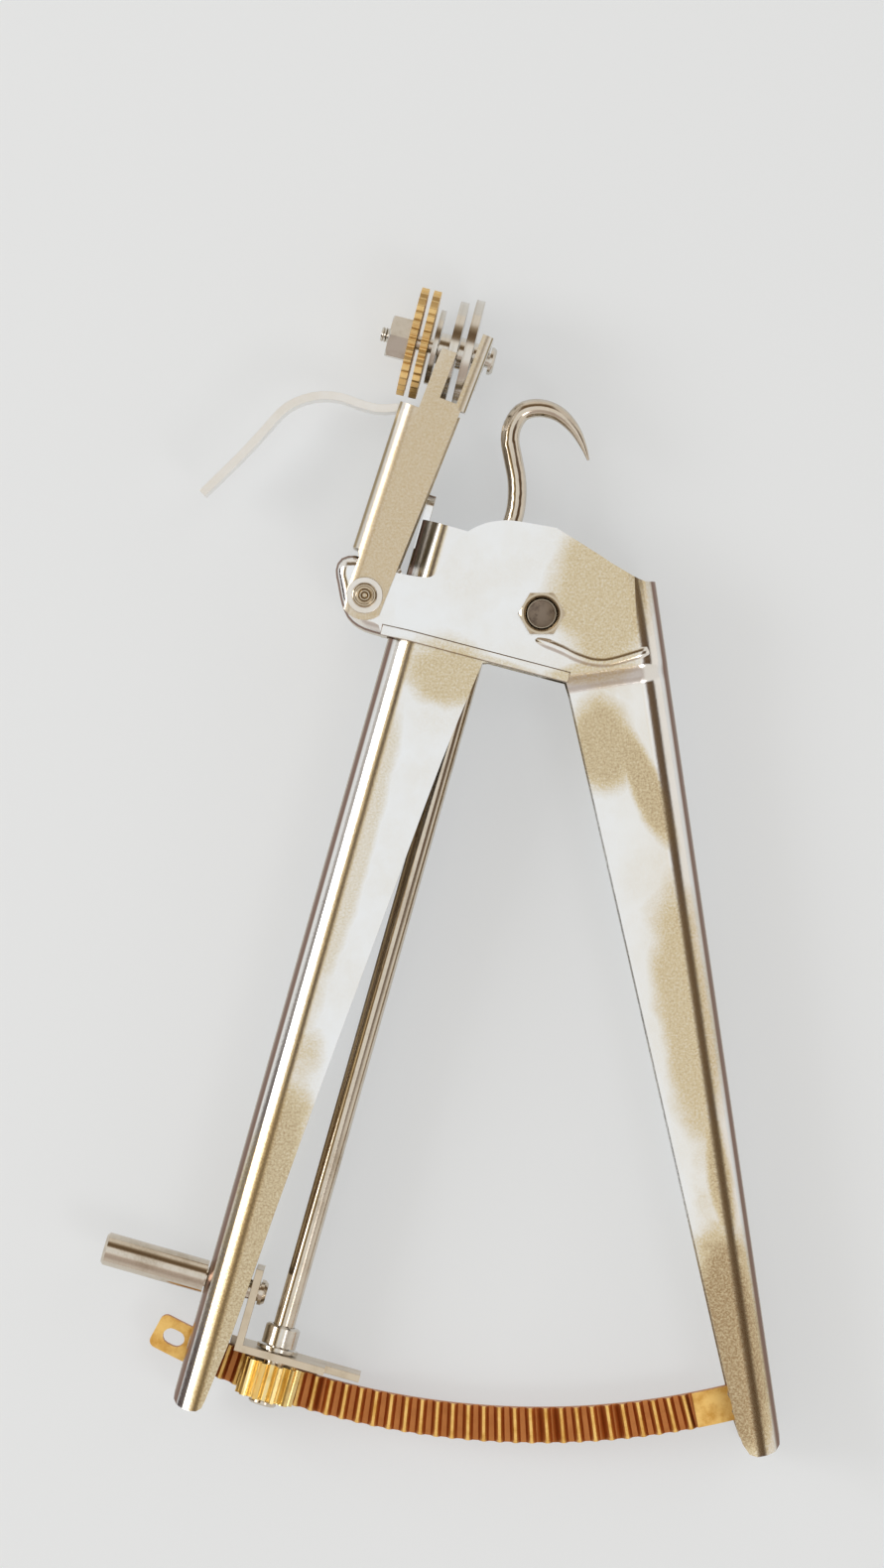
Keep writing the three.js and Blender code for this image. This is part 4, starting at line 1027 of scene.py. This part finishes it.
@dataclass
class CopiedPieces:
    """The pieces that follow their CAD nodes, as smoothed copies of them.

    Attributes:
        sheet_edge: Width of the broken edges of the plated sheet, in millimetres.
        washer_edge: Width of those of the tie arm's washer.
        strip_edge: Width of those of the bearing strips.
    """

    sheet_edge: float = 0.18
    washer_edge: float = 0.12
    strip_edge: float = 0.2

    def make(self, tool: ToolFrame, nickel: Finish) -> None:
        """Build the copies, each of which replaces its node.

        Args:
            tool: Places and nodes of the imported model.
            nickel: Finish of the plated sheet.
        """
        satin = replace(ARM_NICKEL, origin=tuple(tool.pivot))
        pale = replace(satin, name="pale nickel washer", spots=())
        about_axle = {"centre": tuple(tool.wheel), "axis": tuple(tool.wheel_axis)}
        disc = replace(TURNED_STEEL, **about_axle)
        wheel = replace(TURNED_BRASS, **about_axle)
        copies = (
            (nickel, self.sheet_edge, ("left_handle", "right_lever")),
            (satin, self.sheet_edge, ("tie_arm",)),
            (pale, self.washer_edge, ("arm_washer",)),
            (ROD_STEEL, 0.0, ("reel_pin",)),
            (PALE_STEEL, self.strip_edge, ("bearing_bracket", "upper_bearing_plate")),
            (STEEL, 0.0, ("lower_bush", "upper_bush", "pivot_spacer")),
            (RACK_BRASS, 0.0, ("rack",)),
            (STEEL, 0.0, ("rack_rivet_1", "rack_rivet_2", "arm_spacer")),
            (ROD_STEEL, 0.0, ("hook_rod",)),
            (STEEL, 0.0, ("rod_collar",)),
            (BRASS, 0.0, ("pinion",)),
            (disc, 0.0, ("guide_disc_1", "guide_disc_2", "wheel_spacer", "disc_spacer", "end_spacer")),
            (wheel, 0.0, ("feed_wheel_1", "feed_wheel_2")),
            (disc, 0.0, ("side_disc",)),
        )
        for finish, edge, nodes in copies:
            for node in nodes:
                copy = smoothed_copy(tool.nodes[node], f"{node}_dressed", edge)
                dress(copy, finish, tool.bodies[node], node)


@dataclass
class TorsionSpring:
    """A torsion spring about an upright axis, with a straight leg at each end.

    Attributes:
        node: CAD node that it stands for.
        wire: Radius of its wire, in millimetres.
        coil: Radius of the coil to the middle of the wire.
        height: Height of the coil from the first to the last turn.
        start: Angle where the coil starts, in degrees.
        end: Angle where it ends.
        legs: Lengths of the first and the last leg.
        last_way: Direction of the last leg in degrees, where it doesn't leave the coil straight.
        steps: Points in one turn.
    """

    node: str
    wire: float
    coil: float
    height: float
    start: float
    end: float
    legs: Pair
    last_way: float | None = None
    steps: int = 40

    def path(self, centre: Vector) -> list[Vector]:
        """Work out the middle line of the wire.

        Args:
            centre: Middle of the coil, in metres.

        Returns:
            Points of the line, in metres.
        """
        count = math.ceil((self.end - self.start) / 360 * self.steps)
        points = []
        for i in range(count + 1):
            share = i / count
            angle = math.radians(self.start + (self.end - self.start) * share)
            rise = self.height * (share - 0.5)
            points.append(Vector((self.coil * math.cos(angle), self.coil * math.sin(angle), rise)))
        first = math.radians(self.start)
        last = math.radians(self.end if self.last_way is None else self.last_way - 90)
        foot = points[0] + self.legs[0] * Vector((math.sin(first), -math.cos(first), 0))
        tip = points[-1] + self.legs[1] * Vector((-math.sin(last), math.cos(last), 0))
        return [centre + point * MM for point in (foot, *points, tip)]

    def make(self, centre: Vector, body: Body, leg_body: Body | None = None) -> None:
        """Build the spring, split at its joint where its last leg goes with another body.

        Args:
            centre: Middle of the coil, in metres.
            body: Body that carries the coil.
            leg_body: Body that the last leg presses on, or nothing if it stays with the coil.
        """
        path = self.path(centre)
        whole = path if leg_body is None else path[:-1]
        coil = Wire(self.wire).make(f"{self.node}_wound", whole, DARK_STEEL)
        dress(coil, DARK_STEEL, body, self.node)
        if leg_body is not None:
            leg = Wire(self.wire).make(f"{self.node}_leg", path[-2:], DARK_STEEL)
            dress(leg, DARK_STEEL, leg_body)


MAIN_SPRING = TorsionSpring(
    "main_spring", wire=0.7, coil=4.9, height=8.4, start=-75.5, end=1335.5, legs=(31.5, 24.2))
ARM_SPRING = TorsionSpring(
    "arm_spring", wire=0.4, coil=2.8, height=9.0, start=-90.0, end=1239.0, legs=(2.1, 12.0),
    last_way=69.0)


@dataclass
class HexNut:
    """A hexagon nut with turned corners and a threaded bore.

    Attributes:
        flats: Width across the flats, in millimetres.
        height: Its height.
        bore: Radius of its bore.
        turn: How far its corners are turned, in degrees.
        countersink: Width of the broken edge of the bore.
        pitch: Pitch of the thread.
        groove: Depth of the thread.
        points: Points in each ring.
        crown: Slope of its turned corners, in degrees.
        crown_steps: Rings in each turned corner.
    """

    flats: float
    height: float
    bore: float
    turn: float = 0.0
    countersink: float = 0.35
    pitch: float = 0.7
    groove: float = 0.22
    points: int = 96
    crown: float = 30.0
    crown_steps: int = 5

    def ring(self, height: float, limit: float) -> list[Triple]:
        """Give one ring of points: a hexagon, or a circle where the limit lies inside the flats.

        Args:
            height: Its height.
            limit: Radius that it doesn't pass.

        Returns:
            Points of the ring.
        """
        side = 360 / 6
        points = []
        for i in range(self.points):
            angle = 360 * i / self.points
            off = math.radians((angle - self.turn) % side - side / 2)
            radius = min(self.flats / 2 / math.cos(off), limit)
            way = math.radians(angle)
            points.append((radius * math.cos(way), radius * math.sin(way), height))
        return points

    def mesh(self, centre: Vector, axis: Vector) -> Shape:
        """Build the nut with its foot at a point.

        Args:
            centre: Middle of its foot, in metres.
            axis: Direction of its bore, from the foot to the top.

        Returns:
            The nut's mesh.
        """
        inner = self.flats / 2
        corner = inner / math.cos(math.radians(180 / 6))
        crown = (corner - inner) * math.tan(math.radians(self.crown))
        rings = [self.ring(0.0, corner)]
        for i in range(self.crown_steps + 1):
            share = i / self.crown_steps
            rings.append(
                self.ring(self.height - crown * (1 - share), corner + (inner - corner) * share))
        rings.append(self.ring(self.height, self.bore + self.countersink))
        rings.append(self.ring(self.height - self.countersink, self.bore))
        count = int((self.height - 2 * self.countersink) / self.pitch)
        for i in range(count):
            top = self.height - self.countersink - i * self.pitch
            rings.append(self.ring(top - self.pitch / 2, self.bore - self.groove))
            rings.append(self.ring(top - self.pitch, self.bore))
        rings.append(self.ring(0.0, self.bore + self.countersink / 2))
        return ring_body(rings, centre, axis)


@dataclass
class PivotSet:
    """The hexagon nut of the main pivot and the hollow bolt that it holds.

    Attributes:
        seat: Height of the nut's foot above the middle of the tool, in millimetres.
        nut: The nut.
        radius: Radius of the bolt.
        head: Radius and height of its head, at the back.
        back: Depth of the underside of the head below the middle of the tool.
        end: Height of the bolt's end above the nut's foot.
        hole: Radius and depth of the blind hole in its end.
        edge: Width of the broken edge of its end.
        cone: Depth of the pointed bottom of the hole.
        shade_lining: Thickness of the dark sheet of painted shade in the hole.
        shade_lining_gap: How far the lining stands off the wall of the hole.
        shade_lining_rise: How far the side of the lining starts above its bottom.
        shade_lining_drop: How far it stops below the bolt's end.
    """

    seat: float = 10.45
    nut: HexNut = field(default_factory=lambda: HexNut(flats=8.1, height=3.2, bore=3.3))
    radius: float = 3.1
    head: Pair = (5.2, 1.6)
    back: float = 10.45
    end: float = 1.0
    hole: Pair = (2.75, 3.4)
    edge: float = 0.25
    cone: float = 1.0
    shade_lining: float = 0.08
    shade_lining_gap: float = 0.02
    shade_lining_rise: float = 0.5
    shade_lining_drop: float = 0.05

    def make(self, tool: ToolFrame) -> None:
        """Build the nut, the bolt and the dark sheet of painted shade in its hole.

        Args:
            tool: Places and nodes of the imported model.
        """
        up = Vector((0, 0, 1))
        body = tool.bodies["pivot_nut"]
        foot = tool.pivot + up * self.seat * MM
        steel = replace(NUT_STEEL, centre=tuple(tool.pivot))
        nut = self.nut.mesh(foot, up)
        add_piece("pivot_nut_turned", nut, steel, body, "pivot_nut", sharp=NUT_SHARP)
        radius, tall = self.head
        back = -self.back
        end = self.seat + self.end
        hole, deep = self.hole
        bottom = end - deep
        step = tall / 4
        profile = (
            (0.0, back - tall), (radius - 2 * step, back - tall),
            (radius - step, back - tall + step / 2), (radius, back - 2 * step), (radius, back),
            (self.radius, back), (self.radius, end - self.edge), (self.radius - self.edge, end),
            (hole, end), (hole, bottom), (0.0, bottom - self.cone))
        bolt = lathe(profile, tool.pivot, up)
        add_piece("pivot_bolt_turned", bolt, steel, body, "pivot_bolt")
        # A thin dark sheet inside the hole paints its shade.
        side = hole - self.shade_lining_gap
        inside = hole - self.shade_lining
        top = end - self.shade_lining_drop
        low = bottom + self.shade_lining_rise
        profile = (
            (0.0, bottom), (side, low), (side, top), (inside, top), (inside, low + self.shade_lining),
            (0.0, bottom + self.shade_lining))
        add_piece("pivot_bolt_shade_lining", lathe(profile, tool.pivot, up), BORE_SHADE, body)


@dataclass
class ArmRivet:
    """The rivet of the tie arm, with the rings that its punch left.

    Attributes:
        front: Height of the underside of its head above the middle of the tool, in millimetres.
        back: Depth of the upper side of its back flange below the middle.
        shank: Radius of its shank.
        flange: Radius and height of the flange at the back.
        edge: Width of the broken edge of that flange.
        rings: Radius and height of each point of its head, from the middle out.
    """

    front: float = 13.1
    back: float = 12.25
    shank: float = 1.4
    flange: Pair = (3.6, 0.9)
    edge: float = 0.2
    rings: tuple[Pair, ...] = (
        (0.0, 0.62), (0.4, 0.58), (0.62, 0.3), (0.8, -0.1), (0.98, -0.1), (1.12, 0.5), (1.35, 0.84),
        (1.6, 0.88), (1.78, 0.76), (1.92, 0.2), (2.12, 0.2), (2.26, 0.5), (2.42, 0.42), (2.5, 0.2),
        (2.5, 0.0))

    def make(self, tool: ToolFrame) -> None:
        """Build the rivet.

        Args:
            tool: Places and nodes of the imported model.
        """
        radius, tall = self.flange
        profile = [(r, self.front + h) for r, h in self.rings]
        foot = -self.back - tall
        profile += [
            (self.shank, self.front), (self.shank, -self.back), (radius, -self.back),
            (radius, foot + self.edge), (radius - self.edge, foot), (0.0, foot)]
        rivet = lathe(profile, tool.arm_pivot, Vector((0, 0, 1)))
        steel = replace(NUT_STEEL, centre=tuple(tool.arm_pivot))
        add_piece("arm_rivet_headed", rivet, steel, tool.bodies["arm_rivet"], "arm_rivet")


@dataclass
class WheelAxle:
    """The axle of the feed wheels with its threaded tail and its nut.

    Attributes:
        left: Place of its left end from the first wheel, in millimetres.
        right: Place of the underside of its head.
        radius: Its radius.
        head: Radius and height of its head.
        dome: Share of that height by which the rounding of the head has dropped halfway out.
        thread: Pitch and depth of the thread.
        threaded: Length of the threaded part.
        nut: The nut.
        nut_left: Place of the nut's left face.
    """

    left: float = -6.5
    right: float = 15.7
    radius: float = 1.5
    head: Pair = (2.8, 1.1)
    dome: float = 0.15
    thread: Pair = (0.6, 0.2)
    threaded: float = 5.4
    nut: HexNut = field(
        default_factory=lambda: HexNut(
            flats=8.1, height=4.0, bore=1.7, turn=30.0, countersink=0.3, pitch=0.8, groove=0.12,
            points=72))
    nut_left: float = -4.9

    def make(self, tool: ToolFrame) -> None:
        """Build the axle and the nut.

        Args:
            tool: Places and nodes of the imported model.
        """
        pitch, depth = self.thread
        profile = [(0.0, self.left), (self.radius - depth, self.left)]
        for i in range(int(self.threaded / pitch)):
            start = self.left + i * pitch
            profile.append((self.radius, start + pitch / 2))
            profile.append((self.radius - depth, start + pitch))
        radius, tall = self.head
        end = self.right + tall
        profile += [
            (self.radius, self.left + self.threaded + pitch / 2), (self.radius, self.right),
            (radius, self.right), (radius, end - tall / 2),
            (radius - tall / 4, end - tall * self.dome), (radius - tall / 2, end), (0.0, end)]
        body = tool.bodies["wheel_axle"]
        axle = lathe(profile, tool.wheel, tool.wheel_axis)
        add_piece("wheel_axle_threaded", axle, STEEL, body, "wheel_axle")
        foot = tool.wheel + tool.wheel_axis * (self.nut_left + self.nut.height) * MM
        nut = self.nut.mesh(foot, -tool.wheel_axis)
        add_piece("wheel_nut_turned", nut, STEEL, body, "wheel_nut", sharp=NUT_SHARP)


@dataclass
class PressedBead:
    """The bead that the press left in each cheek of the head.

    Attributes:
        line: Points of its middle line from the main pivot, in millimetres.
        radius: Radius of the bead's section.
        rise: How far its crown stands out of the cheek.
        cheek: Height of the cheek's face above the middle of the tool.
        dive: How deep its ends run into the sheet.
        steps: Points of the smooth line.
        dive_steps: How many of them each dipping end takes.
        sides: Sides of the bead's section.
    """

    line: tuple[Pair, ...] = (
        (-1.2, -5.1), (1.4, -6.0), (4.16, -7.13), (6.93, -8.5), (10.2, -9.5), (13.47, -9.5),
        (18.6, -8.1), (20.2, -7.4))
    radius: float = 1.7
    rise: float = 0.34
    cheek: float = 10.3
    dive: float = 0.4
    steps: int = 60
    dive_steps: int = 10
    sides: int = 20

    def path(self, tool: ToolFrame, side: float) -> list[Vector]:
        """Work out the middle line, with its ends running into the sheet.

        Args:
            tool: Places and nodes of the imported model.
            side: One for the front cheek, minus one for the back.

        Returns:
            Points of the line, in metres.
        """
        knots = [Vector((x, y, 0)) for x, y in self.line]
        level = self.cheek + self.rise - self.radius
        points = []
        for i in range(self.steps + 1):
            share = i / self.steps * (len(knots) - 1)
            k = min(int(share), len(knots) - 2)
            before = knots[max(k - 1, 0)]
            after = knots[min(k + 2, len(knots) - 1)]
            t = share - k
            start = (knots[k + 1] - before) / 2
            end = (after - knots[k]) / 2
            point = (
                knots[k] * (2 * t**3 - 3 * t**2 + 1) + start * (t**3 - 2 * t**2 + t)
                + knots[k + 1] * (3 * t**2 - 2 * t**3) + end * (t**3 - t**2))
            near = min(min(i, self.steps - i) / self.dive_steps, 1.0)
            point.z = side * (level - self.dive * (1 - near) ** 2)
            points.append(tool.pivot + point * MM)
        return points

    def make(self, tool: ToolFrame, finish: Finish) -> None:
        """Build the bead on both cheeks.

        Args:
            tool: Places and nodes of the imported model.
            finish: Finish of the sheet.
        """
        for name, side in (("front", 1.0), ("back", -1.0)):
            wire = Wire(self.radius, self.sides)
            piece = wire.make(f"head_bead_{name}", self.path(tool, side), finish)
            dress(piece, finish, tool.bodies["right_lever"])


def main() -> None:
    """Build the looks of the tool, piece by piece."""
    logging.basicConfig(level=logging.INFO, format="%(name)s: %(message)s")
    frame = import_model()
    tool = ToolFrame.read(frame)
    Photograph().make(tool.pivot)
    Studio().make()
    nickel = replace(NICKEL, origin=tuple(tool.pivot))
    CopiedPieces().make(tool, nickel)
    MAIN_SPRING.make(tool.pivot, Body.HANDLE, Body.LEVER)
    ARM_SPRING.make(tool.arm_pivot, Body.LEVER)
    PivotSet().make(tool)
    ArmRivet().make(tool)
    WheelAxle().make(tool)
    PressedBead().make(tool, nickel)


if __name__ == "__main__":
    main()
